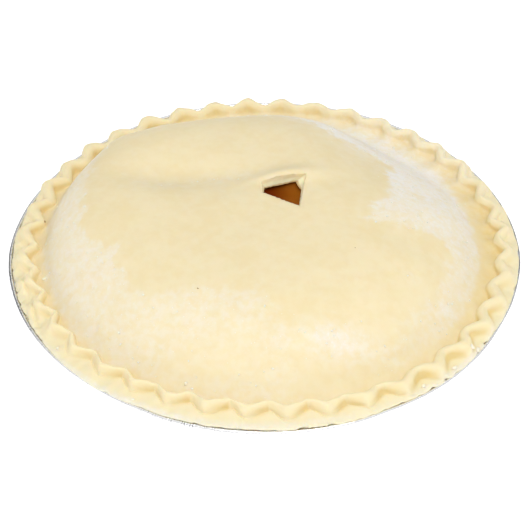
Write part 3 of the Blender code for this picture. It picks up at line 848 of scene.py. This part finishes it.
def crimp_marks(x, y, z):
    """How much painted shade each place gets in the crimps' pinches and valleys and beside the lid's right
    foot, and then whether it lies from the bar outwards.
    """
    turn = turns_of(MOST)
    controls = crimp_controls(turn)
    angles = angle_at(turn)
    outwards = rows_at(EDGE_SIZES, angles)[7]
    angle = np.arctan2(y, x)

    def along(values):
        return np.interp(angle, angles, values, period=math.tau)

    inner = along(controls[INNER_WALL][0])
    outer = along(controls[OUTER_WALL][0])
    crest = FLANGE_TOP + along(controls[BAR_MIDDLE][1])
    foot = along(controls[LID_CORNER][0])
    bend = along(bend_at(skewed(turn, outwards)))
    backwards = along(smooth_step(turn % 1.0, outwards, outwards + TURN_BACK))
    radius = np.hypot(x, y)
    below = smooth_step(crest - z, *SHADE_DROP)
    inside = smooth_step(radius, inner - SHADE_WIDTH[0], inner) * (radius < (inner + outer) / 2.0)
    inside = inside * smooth_step(radius, foot, foot + VALLEY_FADE)
    outside = (1.0 - smooth_step(radius, outer, outer + SHADE_WIDTH[1])) * (radius > (inner + outer) / 2.0)
    valleys, pockets = (along(side) for side in rows_at(SHADE_SIDES, angles))
    # Painted shade in the valleys inside the bar and in the pockets outside it.
    shaded_valley = valleys * inside * blend(VALLEY_SHADE, bend)
    lean = along(smooth_step(0.5 - outwards, 0.0, LEAN_START))
    leaning = 1.0 - lean * (1.0 - blend(POCKET_SHADE, backwards))
    shaded_pocket = pockets * outside * (1.0 - bend) ** POCKET_POWER * leaning
    # Painted shade in the valley beside the lid's right foot.
    foot_shade = FOOT_SHADE_STRENGTH * near_direction(angle, SHADED_FOOT_VALLEY) * smooth_step(radius, *FOOT_SHADE_START) * (radius < inner)
    fresh = smooth_step(radius, inner - FRESH_START, inner + FRESH_END)
    return np.maximum(below * (shaded_valley + shaded_pocket), foot_shade), fresh


def mark_pastry(mesh):
    """Stores where the pastry is floured, where it is fresh dough, how much painted shade the crimps get,
    and how far into a cut each place is.
    """
    x, y, z = mesh_points(mesh)
    radius = np.hypot(x, y)
    depth = FLANGE_TOP + lid_rise(x, y) - z
    crimp_shade, fresh = crimp_marks(x, y, z)
    on_skirt = smooth_step(radius, *SKIRT_FLOUR_START) * near_places(np.arctan2(y, x), SKIRT_FLOUR)
    set_attribute(mesh, "flour", flour_at(x, y) + on_skirt)
    set_attribute(mesh, "fresh", fresh)
    # Painted shade in the crimps' pinches and valleys.
    set_attribute(mesh, "crimp_shade", crimp_shade)
    set_attribute(mesh, "cut", smooth_step(depth, CUT_START, LID_THICKNESS) * (radius < CUT_REACH))


# --- the tin and the filling ---

TIN_COLUMNS = 1320
ROLL_STEPS = 14
FLUTES = 150
FLUTE_DEPTH = 0.35 * MM
FLUTE_UNEVENNESS = 0.25
FLUTE_WAVE = 12.0 * MM
FLUTE_START, FLUTE_END = (0.0, 0.3), (0.85, 1.0)  # where they rise and fall, as shares of the wall's height
RIM_RIPPLES = 330
RIPPLE_DEPTH = 0.07 * MM
RIPPLE_UNEVENNESS = 0.4
RIPPLE_DRIFT = 2.5
RIM_WAVE = 40.0 * MM
RIM_PLEATS = 610.0
PLEAT_BEND = 9.0
# Where the foil is crumpled and its creases carry more painted shade, which at the left and the right also
# stands for dark reflections: an angle, half the width in degrees, and how much. The rest is nearly smooth.
FOIL_CRUMPLES_AND_SHADE = ((187, 20, 1), (2, 9, 1), (253, 9, 0.8))
FOIL_CRUMPLE_REST = 0.15
WALL_SHADE_START = (0.7 * MM, 2.0 * MM)  # how far under the flange's top the wall's painted shade begins
WALL_CREST_LIGHT = 0.6  # how much less painted shade the flutes' crests get, as painted light on them
# Rings of the wall and of the base, as shares of its height and of its radius.
WALL_PLACES = (0.0, 0.03, 0.1, 0.3, 0.5, 0.7, 0.9, 0.97, 1.0)
BASE_PLACES = (0.3, 0.7, 0.95)
FLANGE_START, FLANGE_END = 1.0 * MM, 2.0 * MM  # from the mouth, and from the middle of the roll


def make_tin():
    """The foil tin: a fluted wall, a flange and a rolled rim. The flutes stand out, away from the pie."""
    angle = np.arange(TIN_COLUMNS) / TIN_COLUMNS * math.tau
    rim = (np.cos(angle) * RIM_RADIUS, np.sin(angle) * RIM_RADIUS)
    drift = Waves(RIM_SEED, RIM_WAVE).at(*rim)
    uneven = np.tanh(Waves(FLUTE_SEED, FLUTE_WAVE).at(*rim))
    flute = FLUTE_DEPTH * (0.5 + 0.5 * np.cos(FLUTES * angle + drift))
    flute = flute * (1.0 - FLUTE_UNEVENNESS + FLUTE_UNEVENNESS * uneven)
    ripple = RIPPLE_DEPTH * (0.5 + 0.5 * np.sin(RIM_RIPPLES * angle + RIPPLE_DRIFT * drift))
    ripple = ripple * (1.0 - RIPPLE_UNEVENNESS + RIPPLE_UNEVENNESS * uneven)
    bend = rim_bend(angle)

    def around(radius, height):
        bent = radius + bend * smooth_step(radius, *BEND_START)
        return bent * np.cos(angle), bent * np.sin(angle), np.broadcast_to(height, angle.shape)

    def wall(bottom, top):
        rings = []
        for share in WALL_PLACES:
            stand_out = flute * smooth_step(share, *FLUTE_START) * (1.0 - smooth_step(share, *FLUTE_END))
            radius = blend((bottom[0], top[0]), share) + stand_out
            rings.append(around(radius, blend((bottom[1], top[1]), share)))
        return rings

    roll_radius = ROLL_RADIUS - ripple
    roll_centre = RIM_RADIUS - ROLL_RADIUS
    start = math.pi - math.asin(SHEET / 2.0 / ROLL_RADIUS)
    roll = []
    for step in range(ROLL_STEPS + 1):
        place = start - 2.0 * start * step / ROLL_STEPS
        roll.append(around(roll_centre + roll_radius * math.cos(place),
                           FLANGE_TOP - SHEET / 2.0 + roll_radius * math.sin(place)))
    inside = [around(share * (BASE_RADIUS - SHEET), SHEET) for share in BASE_PLACES]
    inside += wall((BASE_RADIUS - SHEET, SHEET), (MOUTH_RADIUS, FLANGE_TOP))
    under = FLANGE_TOP - SHEET
    flange_end = roll_centre - FLANGE_END
    flange_top = [around(MOUTH_RADIUS + FLANGE_START, FLANGE_TOP), around(flange_end, FLANGE_TOP)]
    flange_under = [around(flange_end, under), around(MOUTH_RADIUS + SHEET + FLANGE_START, under)]
    outside = wall((BASE_RADIUS, 0.0), (MOUTH_RADIUS + SHEET, under))[::-1]
    outside += [around(share * BASE_RADIUS, 0.0) for share in BASE_PLACES[::-1]]
    skin = Skin()
    skin.stack(inside + flange_top + roll + flange_under + outside, centre_of(SHEET), centre_of(0.0))
    tin = show(bpy.data.objects.new("tin", skin.mesh("tin")))
    tin.data.set_sharp_from_angle(angle=SHARP_ANGLE)
    x, y, z = mesh_points(tin.data)
    crumples_and_shade = near_places(np.arctan2(y, x), FOIL_CRUMPLES_AND_SHADE)
    # Where the creases carry more painted shade and painted dark reflections.
    set_attribute(tin.data, "crumple_and_shade", np.minimum(FOIL_CRUMPLE_REST + crumples_and_shade, 1.0))
    column = np.round(np.arctan2(y, x) / math.tau * TIN_COLUMNS).astype(int) % TIN_COLUMNS
    # The wall's painted shade, lighter on the flutes' crests as painted light.
    shaded = smooth_step(FLANGE_TOP - z, *WALL_SHADE_START) * (1.0 - WALL_CREST_LIGHT * flute[column] / FLUTE_DEPTH)
    set_attribute(tin.data, "wall", shaded)
    return tin


def vent_drop(x, y):
    """The filling lies lower round the vent, and is a little lumpy there."""
    away = np.exp(-((np.hypot(x - VENT_X, y - VENT_Y) / VENT_HOLLOW_RADIUS) ** 2))
    return away * (VENT_HOLLOW_DEPTH + FILLING_RELIEF * filling_waves.at(x, y))


filling_waves = Waves(FILLING_SEED, FILLING_WAVE)


def make_filling():
    skin = Skin()
    top = centre_of(under_lid(0.0, 0.0, FILLING_CLEARANCE) - vent_drop(0.0, 0.0))
    floor = centre_of(SHEET + GAP + BOTTOM_CRUST + FILLING_CLEARANCE)
    skin.stack(hollow_rings(FILLING_CLEARANCE, vent_drop), top, floor)
    return show(bpy.data.objects.new("filling", skin.mesh("filling")))


# --- small things that lie on the dough ---

# Each row is x and y and the size across, in mm.
BROWN_SPECKS = ((-110.3, 17.1, 1.1), (-31, -62, 0.9), (43, -35, 0.55))
DOUGH_CRUMBS = ((-36, -101, 1.6), (-107, -25.5, 2.2), (97, -76, 2.6), (100, -74, 2.2), (88, -87, 2.4),
                (73, -99.5, 2.2), (-97, -74, 1.6), (-60, -108, 1.4))
FLOUR_GRAINS = 520
GRAIN_SIZES = (0.5, 1.2)
TRIES_PER_GRAIN = 40
GRAIN_CHANCE = 0.3  # where the flour is full
LUMP_ROUGHNESS = 0.28
LUMP_FLATNESS = 0.45
LUMP_SINK = 0.12
LUMP_STRETCH = (0.75, 1.25)
FINE_LUMP = 1.0  # from this size on, in mm, a lump gets finer faces


def floured_places(count, seed):
    """Random places on the lid, more of them where more flour lies, and a size for each."""
    draw = np.random.default_rng(seed)
    tries = TRIES_PER_GRAIN * count
    radius = foot_radius(np.zeros(1))[0] * np.sqrt(draw.uniform(0.0, 1.0, tries))
    angle = draw.uniform(-math.pi, math.pi, tries)
    x, y = radius * np.cos(angle), radius * np.sin(angle)
    kept = np.flatnonzero(draw.uniform(0.0, 1.0, tries) < GRAIN_CHANCE * flour_at(x, y))[:count]
    sizes = blend(GRAIN_SIZES, draw.uniform(0.0, 1.0, len(kept)) ** 3)
    return [(x[place] / MM, y[place] / MM, size) for place, size in zip(kept, sizes)]


def make_lumps(name, rows, ground, seed):
    """One piece of many irregular lumps, each lying on the dough."""
    draw = random.Random(seed)
    shape = bmesh.new()
    for x, y, size in rows:
        place, normal, _, _ = ground.ray_cast(Vector((x * MM, y * MM, 1.0)), Vector((0.0, 0.0, -1.0)))
        fineness = 1 if size < FINE_LUMP else 2
        made = bmesh.ops.create_icosphere(shape, subdivisions=fineness, radius=0.5 * size * MM)["verts"]
        turn = normal.to_track_quat("Z", "Y")
        stretch = draw.uniform(*LUMP_STRETCH)
        for vert in made:
            rough = 1.0 + LUMP_ROUGHNESS * draw.uniform(-1.0, 1.0)
            lump = Vector((vert.co.x * stretch, vert.co.y / stretch, vert.co.z * LUMP_FLATNESS)) * rough
            vert.co = place + turn @ (lump + Vector((0.0, 0.0, LUMP_SINK * size * MM)))
    mesh = bpy.data.meshes.new(name)
    shape.to_mesh(mesh)
    shape.free()
    mesh.shade_smooth()
    return show(bpy.data.objects.new(name, mesh))


# --- materials ---


class Nodes:
    """Short ways to add nodes to a tree."""

    def __init__(self, tree):
        self.tree = tree

    def feed(self, socket, value):
        if isinstance(value, bpy.types.NodeSocket):
            self.tree.links.new(value, socket)
        else:
            socket.default_value = value

    def add(self, kind, inputs=None, **settings):
        node = self.tree.nodes.new("ShaderNode" + kind)
        for name, value in settings.items():
            setattr(node, name, value)
        for name, value in (inputs or {}).items():
            self.feed(node.inputs[name], value)
        return node

    def math(self, operation, a, b=0.0, c=0.0):
        node = self.add("Math", {0: a, 1: b, 2: c}, operation=operation)
        return node.outputs[0]

    def ramp(self, value, low, high, to_low=0.0, to_high=1.0):
        ends = {"Value": value, "From Min": low, "From Max": high, "To Min": to_low, "To Max": to_high}
        return self.add("MapRange", ends, interpolation_type="SMOOTHSTEP").outputs["Result"]

    def mix(self, share, a, b):
        node = self.add("Mix", {0: share}, data_type="RGBA")
        for place, colour in ((6, a), (7, b)):
            plain = not isinstance(colour, bpy.types.NodeSocket)
            self.feed(node.inputs[place], (*colour, 1.0) if plain else colour)
        return node.outputs[2]


class Shader(Nodes):
    """A material with one Principled shader, and the nodes that feed it."""

    def __init__(self, name):
        self.material = bpy.data.materials.new(name)
        self.material.use_nodes = True
        super().__init__(self.material.node_tree)
        self.principled = self.tree.nodes["Principled BSDF"]
        self.place = self.add("TexCoord").outputs["Object"]

    def set(self, **values):
        for name, value in values.items():
            self.feed(self.principled.inputs[name.replace("_", " ")], value)

    def noise(self, size, detail):
        """Noise whose features are about this size."""
        values = {"Vector": self.place, "Scale": 1.0 / size, "Detail": detail}
        return self.add("TexNoise", values).outputs["Fac"]

    def field(self, name):
        return self.add("Attribute", attribute_name=name).outputs["Fac"]

    def bump(self, height, distance):
        return self.add("Bump", {"Height": height, "Distance": distance}).outputs["Normal"]


# Colours, as shares of red, green and blue light.
DOUGH = (0.87, 0.755, 0.49)
DOUGH_WARM = (0.85, 0.72, 0.435)
FRESH_DOUGH = (0.88, 0.77, 0.485)
FLOUR = (0.89, 0.85, 0.775)
# Painted shade: darker, more amber dough in the crimps' pinches and valleys.
SHADED_DOUGH = (0.80, 0.63, 0.285)
# Painted light: the cut dough is lighter than the lid's, to brighten the vent's shaded wall.
LIT_CUT_DOUGH = (0.96, 0.87, 0.58)
SOAKED_DOUGH = (0.70, 0.46, 0.20)
CARAMEL = (0.31, 0.092, 0.005)
# Painted shadow: the caramel's colour where the lid shades its left side.
SHADED_CARAMEL = (0.13, 0.016, 0.0003)
BROWN_LIGHT = (0.50, 0.32, 0.14)
BROWN_DARK = (0.28, 0.16, 0.06)
CRUMB_LIGHT = (0.95, 0.91, 0.76)
CRUMB_DARK = (0.93, 0.86, 0.66)
GRAIN_LIGHT = (0.94, 0.91, 0.81)
GRAIN_DARK = (0.92, 0.87, 0.73)
FOIL_LIGHT, FOIL_DULL = (0.98, 0.98, 0.98), (0.93, 0.93, 0.94)
# Painted shade: the tin's wall is darker than its rim.
FOIL_WALL_SHADE = (0.40, 0.41, 0.43)
# Painted shade in the rim's pleats, which also stands for dark reflections at its left and right.
FOIL_CREASE_SHADE = (0.10, 0.105, 0.12)
CREASE_SHADE_STRENGTH = 0.85
DOUGH_GLOW = (1.0, 0.7, 0.35)  # how far red, green and blue light goes in the dough
CARAMEL_GLOW = (1.0, 0.4, 0.1)
# Noise: the size of its features and how fine its detail is.
BROAD_MOTTLE, MOTTLE = (16.0 * MM, 3.0), (5.0 * MM, 2.0)
DOUGH_GRAIN, DOUGH_CLUMPS, FLOUR_CLOUD = (1.3 * MM, 3.0), (3.0 * MM, 3.0), (3.4 * MM, 4.0)
LUMP_SHADES, LUMP_GRAIN = (0.8 * MM, 2.0), (0.3 * MM, 2.0)
FOIL_CRINKLE, FOIL_DENTS = (1.3 * MM, 3.0), (7.0 * MM, 2.0)
CARAMEL_SWIRL, CARAMEL_GRAIN = (9.0 * MM, 3.0), (2.5 * MM, 2.0)
PIT_SIZE = 4.0 * MM
# How high the fine relief is.
DOUGH_BUMP, LUMP_BUMP, FOIL_BUMP, CARAMEL_BUMP = 0.06 * MM, 0.015 * MM, 0.25 * MM, 0.1 * MM
# Spans of the value that drives a part of a look and, where there are four numbers, what its ends turn into.
MOTTLE_SPAN = (0.75, 1.3)
FILM_SPAN = (0.2, 0.8, 0.65, 1.15)
SPECK_SPAN = (-0.08, 0.10)
SPECKS_ON_FLOUR = (0.02, 0.30, 0.0, 0.20)
CLOUD_SPAN = (0.34, 0.66, -0.15, 0.15)
CLOUD_ON_FLOUR = (0.0, 0.3, 0.4, 1.0)
CLOUD_ON_FRESH = (0.0, 1.0, 1.0, 0.4)
CUT_SPAN, SOAKED_SPAN = (0.0, 0.25), (0.75, 1.0)
PIT_SPAN = (0.0, 0.10, -0.3, 0.0)
DOUGH_ROUGHNESS = (0.0, 1.0, 0.6, 0.9)
FOIL_ROUGHNESS = (0.3, 0.7, 0.14, 0.28)
CARAMEL_ROUGHNESS = (0.3, 0.7, 0.40, 0.55)
LUMP_SPAN = (0.3, 0.7)
PLEAT_SPAN, CRINKLE_SPAN, DULL_SPAN = (0.2, 0.85), (0.46, 0.56), (0.35, 0.7)
# Noise over this level is a speck of flour. The level is lower where more flour lies.
SPECK_LEVEL, SPECK_GAIN = 0.70, 0.22
# Painted shade: the caramel is darkest at its left, in the lid's shadow, and lightens from here to there.
CARAMEL_SPAN = (2.5 * MM, 21.0 * MM)
SWIRL_REACH = 5.0 * MM


def pastry_material():
    shader = Shader("floured_dough")
    flour, fresh, crimp_shade, cut = (shader.field(name) for name in ("flour", "fresh", "crimp_shade", "cut"))
    mottle = shader.math("ADD", shader.noise(*BROAD_MOTTLE), shader.noise(*MOTTLE))
    grain = shader.noise(*DOUGH_GRAIN)
    clumps = shader.noise(*DOUGH_CLUMPS)
    dough = shader.mix(shader.ramp(mottle, *MOTTLE_SPAN), DOUGH, DOUGH_WARM)
    dough = shader.mix(fresh, dough, FRESH_DOUGH)
    # Painted shade: the crimps' pinches and valleys, and the valley by the lid's right foot, turn darker and
    # more amber.
    dough = shader.mix(crimp_shade, dough, SHADED_DOUGH)
    film = shader.math("MULTIPLY", flour, shader.ramp(clumps, *FILM_SPAN))
    level = shader.math("SUBTRACT", SPECK_LEVEL, shader.math("MULTIPLY", flour, SPECK_GAIN))
    specks = shader.ramp(shader.math("SUBTRACT", grain, level), *SPECK_SPAN)
    specks = shader.math("MULTIPLY", specks, shader.ramp(flour, *SPECKS_ON_FLOUR))
    cloud = shader.ramp(shader.noise(*FLOUR_CLOUD), *CLOUD_SPAN)
    cloud = shader.math("MULTIPLY", cloud, shader.ramp(flour, *CLOUD_ON_FLOUR))
    cloud = shader.math("MULTIPLY", cloud, shader.ramp(fresh, *CLOUD_ON_FRESH))
    dusted = shader.math("ADD", shader.math("ADD", film, specks), cloud)
    colour = shader.mix(dusted, dough, FLOUR)
    # Painted light on the vent's cut wall.
    colour = shader.mix(shader.ramp(cut, *CUT_SPAN), colour, LIT_CUT_DOUGH)
    colour = shader.mix(shader.ramp(cut, *SOAKED_SPAN), colour, SOAKED_DOUGH)
    pits = shader.add("TexVoronoi", {"Vector": shader.place, "Scale": 1.0 / PIT_SIZE}).outputs["Distance"]
    height = shader.math("MULTIPLY_ADD", grain, 0.25, shader.math("MULTIPLY", clumps, 0.5))
    height = shader.math("MULTIPLY_ADD", specks, 0.8, height)
    height = shader.math("ADD", height, shader.ramp(pits, *PIT_SPAN))
    shader.set(Base_Color=colour, Roughness=shader.ramp(dusted, *DOUGH_ROUGHNESS))
    shader.set(Normal=shader.bump(height, DOUGH_BUMP), Subsurface_Weight=0.35)
    shader.set(Subsurface_Radius=DOUGH_GLOW, Subsurface_Scale=2.5 * MM, Specular_IOR_Level=0.25)
    return shader.material


def grain_material(name, light, dark):
    shader = Shader(name)
    shade = shader.ramp(shader.noise(*LUMP_SHADES), *LUMP_SPAN)
    shader.set(Base_Color=shader.mix(shade, light, dark), Roughness=0.8, Specular_IOR_Level=0.2)
    shader.set(Normal=shader.bump(shader.noise(*LUMP_GRAIN), LUMP_BUMP), Subsurface_Weight=0.3)
    shader.set(Subsurface_Radius=DOUGH_GLOW, Subsurface_Scale=0.8 * MM)
    return shader.material


def foil_material():
    shader = Shader("rolled_foil")
    crinkle = shader.noise(*FOIL_CRINKLE)
    dents = shader.noise(*FOIL_DENTS)
    place = shader.add("SeparateXYZ", {0: shader.place}).outputs
    angle = shader.math("ARCTAN2", place["Y"], place["X"])
    bent = shader.math("MULTIPLY", dents, PLEAT_BEND)
    pleats = shader.math("SINE", shader.math("MULTIPLY_ADD", angle, RIM_PLEATS, bent))
    # The creases both bump the foil and carry painted shade.
    creases_and_shade = shader.math("MULTIPLY", shader.ramp(pleats, *PLEAT_SPAN), shader.ramp(crinkle, *CRINKLE_SPAN))
    creases_and_shade = shader.math("MULTIPLY", creases_and_shade, shader.field("crumple_and_shade"))
    tone = shader.mix(shader.ramp(dents, *DULL_SPAN), FOIL_LIGHT, FOIL_DULL)
    # Painted shade on the wall.
    tone = shader.mix(shader.field("wall"), tone, FOIL_WALL_SHADE)
    # Painted shade in the creases, and painted dark reflections where they crowd.
    tone = shader.mix(shader.math("MULTIPLY", creases_and_shade, CREASE_SHADE_STRENGTH), tone, FOIL_CREASE_SHADE)
    height = shader.math("MULTIPLY_ADD", crinkle, 0.35, shader.math("MULTIPLY_ADD", creases_and_shade, -0.3, dents))
    shader.set(Base_Color=tone, Metallic=1.0, Roughness=shader.ramp(crinkle, *FOIL_ROUGHNESS))
    shader.set(Normal=shader.bump(height, FOIL_BUMP))
    return shader.material


def caramel_material():
    shader = Shader("caramel")
    across = shader.add("SeparateXYZ", {0: shader.place}).outputs["X"]
    swirl = shader.noise(*CARAMEL_SWIRL)
    share = shader.ramp(shader.math("MULTIPLY_ADD", swirl, SWIRL_REACH, across), *CARAMEL_SPAN)
    # Painted shadow of the lid over the caramel's left side.
    colour = shader.mix(share, SHADED_CARAMEL, CARAMEL)
    shader.set(Base_Color=colour, Roughness=shader.ramp(swirl, *CARAMEL_ROUGHNESS))
    shader.set(Normal=shader.bump(shader.noise(*CARAMEL_GRAIN), CARAMEL_BUMP), Specular_IOR_Level=0.04)
    shader.set(Subsurface_Weight=0.1, Subsurface_Radius=CARAMEL_GLOW, Subsurface_Scale=1.5 * MM)
    return shader.material


# --- light, floor and camera ---

CAMERA_PLACE = (0.0, -0.7849, 0.6822)
CAMERA_TARGET = (0.0, 0.0, 0.029)
CAMERA_LENS = 139.55
SENSOR_WIDTH = 36.0
IMAGE_WIDTH = 530.0
CAMERA_SHIFT = (0.5 / IMAGE_WIDTH, -13.22 / IMAGE_WIDTH)
NEAREST_SEEN = 0.05
# Towards SKY_FRONT the sky is brightest; it brightens between these cosines of the angle from there.
SKY_FRONT = (-0.10, -0.60, 0.80)
SKY_RANGE = (-0.45, 0.55)
SKY_STRENGTH = (0.62, 1.0)
# Two dark panels at the back: their left and right edges, counted from straight back towards the right, and
# their highest edge, in degrees.
DARK_PANELS = ((-62, -25, 36), (23, 46, 31))
PANEL_SOFTNESS = math.radians(5.0)
PANEL_STRENGTH = 0.03
KEY_PLACE = (0.10, -0.50, 1.25)
KEY_SIZE = 0.7
KEY_POWER = 5.9
FLOOR_RADIUS = 4.0
FLOOR_DROP = 0.1 * MM
FLOOR_COLOUR = (0.55, 0.55, 0.55, 1.0)
FLOOR_GLOW = 0.78


def make_camera():
    data = bpy.data.cameras.new("camera")
    data.lens = CAMERA_LENS
    data.sensor_width = SENSOR_WIDTH
    data.shift_x, data.shift_y = CAMERA_SHIFT
    data.clip_start = NEAREST_SEEN
    camera = show(bpy.data.objects.new("camera", data))
    camera.location = CAMERA_PLACE
    look = Vector(CAMERA_TARGET) - Vector(CAMERA_PLACE)
    camera.rotation_euler = look.to_track_quat("-Z", "Y").to_euler()
    bpy.context.scene.camera = camera


def make_world():
    """A bright soft sky, lower at the back, with two dark panels that only the foil shows as dark bands.

    The camera itself sees it as white.
    """
    world = bpy.data.worlds.new("studio")
    world.use_nodes = True
    nodes = Nodes(world.node_tree)
    nodes.tree.nodes.clear()
    place = nodes.add("TexCoord").outputs["Generated"]
    front = Vector(SKY_FRONT).normalized()
    towards = nodes.add("VectorMath", {0: place, 1: front}, operation="DOT_PRODUCT").outputs["Value"]
    sky = nodes.ramp(towards, *SKY_RANGE, *SKY_STRENGTH)
    parts = nodes.add("SeparateXYZ", {0: place}).outputs
    azimuth = nodes.math("ARCTAN2", parts["X"], parts["Y"])
    for row in DARK_PANELS:
        left, right, top = (math.radians(value) for value in row)
        from_left = nodes.ramp(azimuth, left - PANEL_SOFTNESS, left)
        to_right = nodes.ramp(azimuth, right, right + PANEL_SOFTNESS, 1.0, 0.0)
        to_top = nodes.ramp(parts["Z"], math.sin(top), math.sin(top + PANEL_SOFTNESS), 1.0, 0.0)
        panel = nodes.math("MULTIPLY", nodes.math("MULTIPLY", from_left, to_right), to_top)
        sky = nodes.math("MULTIPLY", sky, nodes.ramp(panel, 0.0, 1.0, 1.0, PANEL_STRENGTH))
    seen = nodes.add("LightPath").outputs["Is Camera Ray"]
    strength = nodes.add("Mix", {0: seen, 2: sky, 3: 1.0}, data_type="FLOAT").outputs[0]
    background = nodes.add("Background", {"Strength": strength}).outputs[0]
    nodes.add("OutputWorld", {"Surface": background})
    bpy.context.scene.world = world


def make_key_light():
    data = bpy.data.lights.new("key", "AREA")
    data.shape = "DISK"
    data.size = KEY_SIZE
    data.energy = KEY_POWER
    light = show(bpy.data.objects.new("key", data))
    light.location = KEY_PLACE
    light.rotation_euler = (Vector(CAMERA_TARGET) - Vector(KEY_PLACE)).to_track_quat("-Z", "Y").to_euler()


def make_floor():
    shape = bmesh.new()
    bmesh.ops.create_circle(shape, cap_ends=True, segments=64, radius=FLOOR_RADIUS)
    bmesh.ops.translate(shape, verts=shape.verts, vec=(0.0, 0.0, -FLOOR_DROP))
    mesh = bpy.data.meshes.new("floor")
    shape.to_mesh(mesh)
    shape.free()
    shader = Shader("white_floor")
    shader.set(Base_Color=FLOOR_COLOUR, Roughness=0.9, Emission_Strength=FLOOR_GLOW)
    shader.set(Emission_Color=(1.0, 1.0, 1.0, 1.0))
    mesh.materials.append(shader.material)
    show(bpy.data.objects.new("floor", mesh))


# --- putting it together ---


def dress(piece, material, node=None):
    piece.data.materials.clear()
    piece.data.materials.append(material)
    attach(piece, "root")
    if node:
        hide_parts(node)


make_camera()
make_world()
make_floor()
make_key_light()
pastry = make_pastry()
mark_pastry(pastry.data)
dress(pastry, pastry_material(), "pastry_crust")
dress(make_filling(), caramel_material(), "caramel_apple_filling")
dress(make_tin(), foil_material(), "foil_tin")
ground = BVHTree.FromObject(pastry, bpy.context.evaluated_depsgraph_get())
brown = grain_material("brown_speck", BROWN_LIGHT, BROWN_DARK)
dress(make_lumps("brown_specks", BROWN_SPECKS, ground, SPECK_SEED), brown)
crumb = grain_material("dough_crumb", CRUMB_LIGHT, CRUMB_DARK)
dress(make_lumps("dough_crumbs", DOUGH_CRUMBS, ground, CRUMB_SEED), crumb)
white = grain_material("flour_grain", GRAIN_LIGHT, GRAIN_DARK)
grains = floured_places(FLOUR_GRAINS, GRAIN_PLACE_SEED)
dress(make_lumps("flour_grains", grains, ground, GRAIN_SEED), white)
bpy.context.scene.view_settings.view_transform = "Standard"
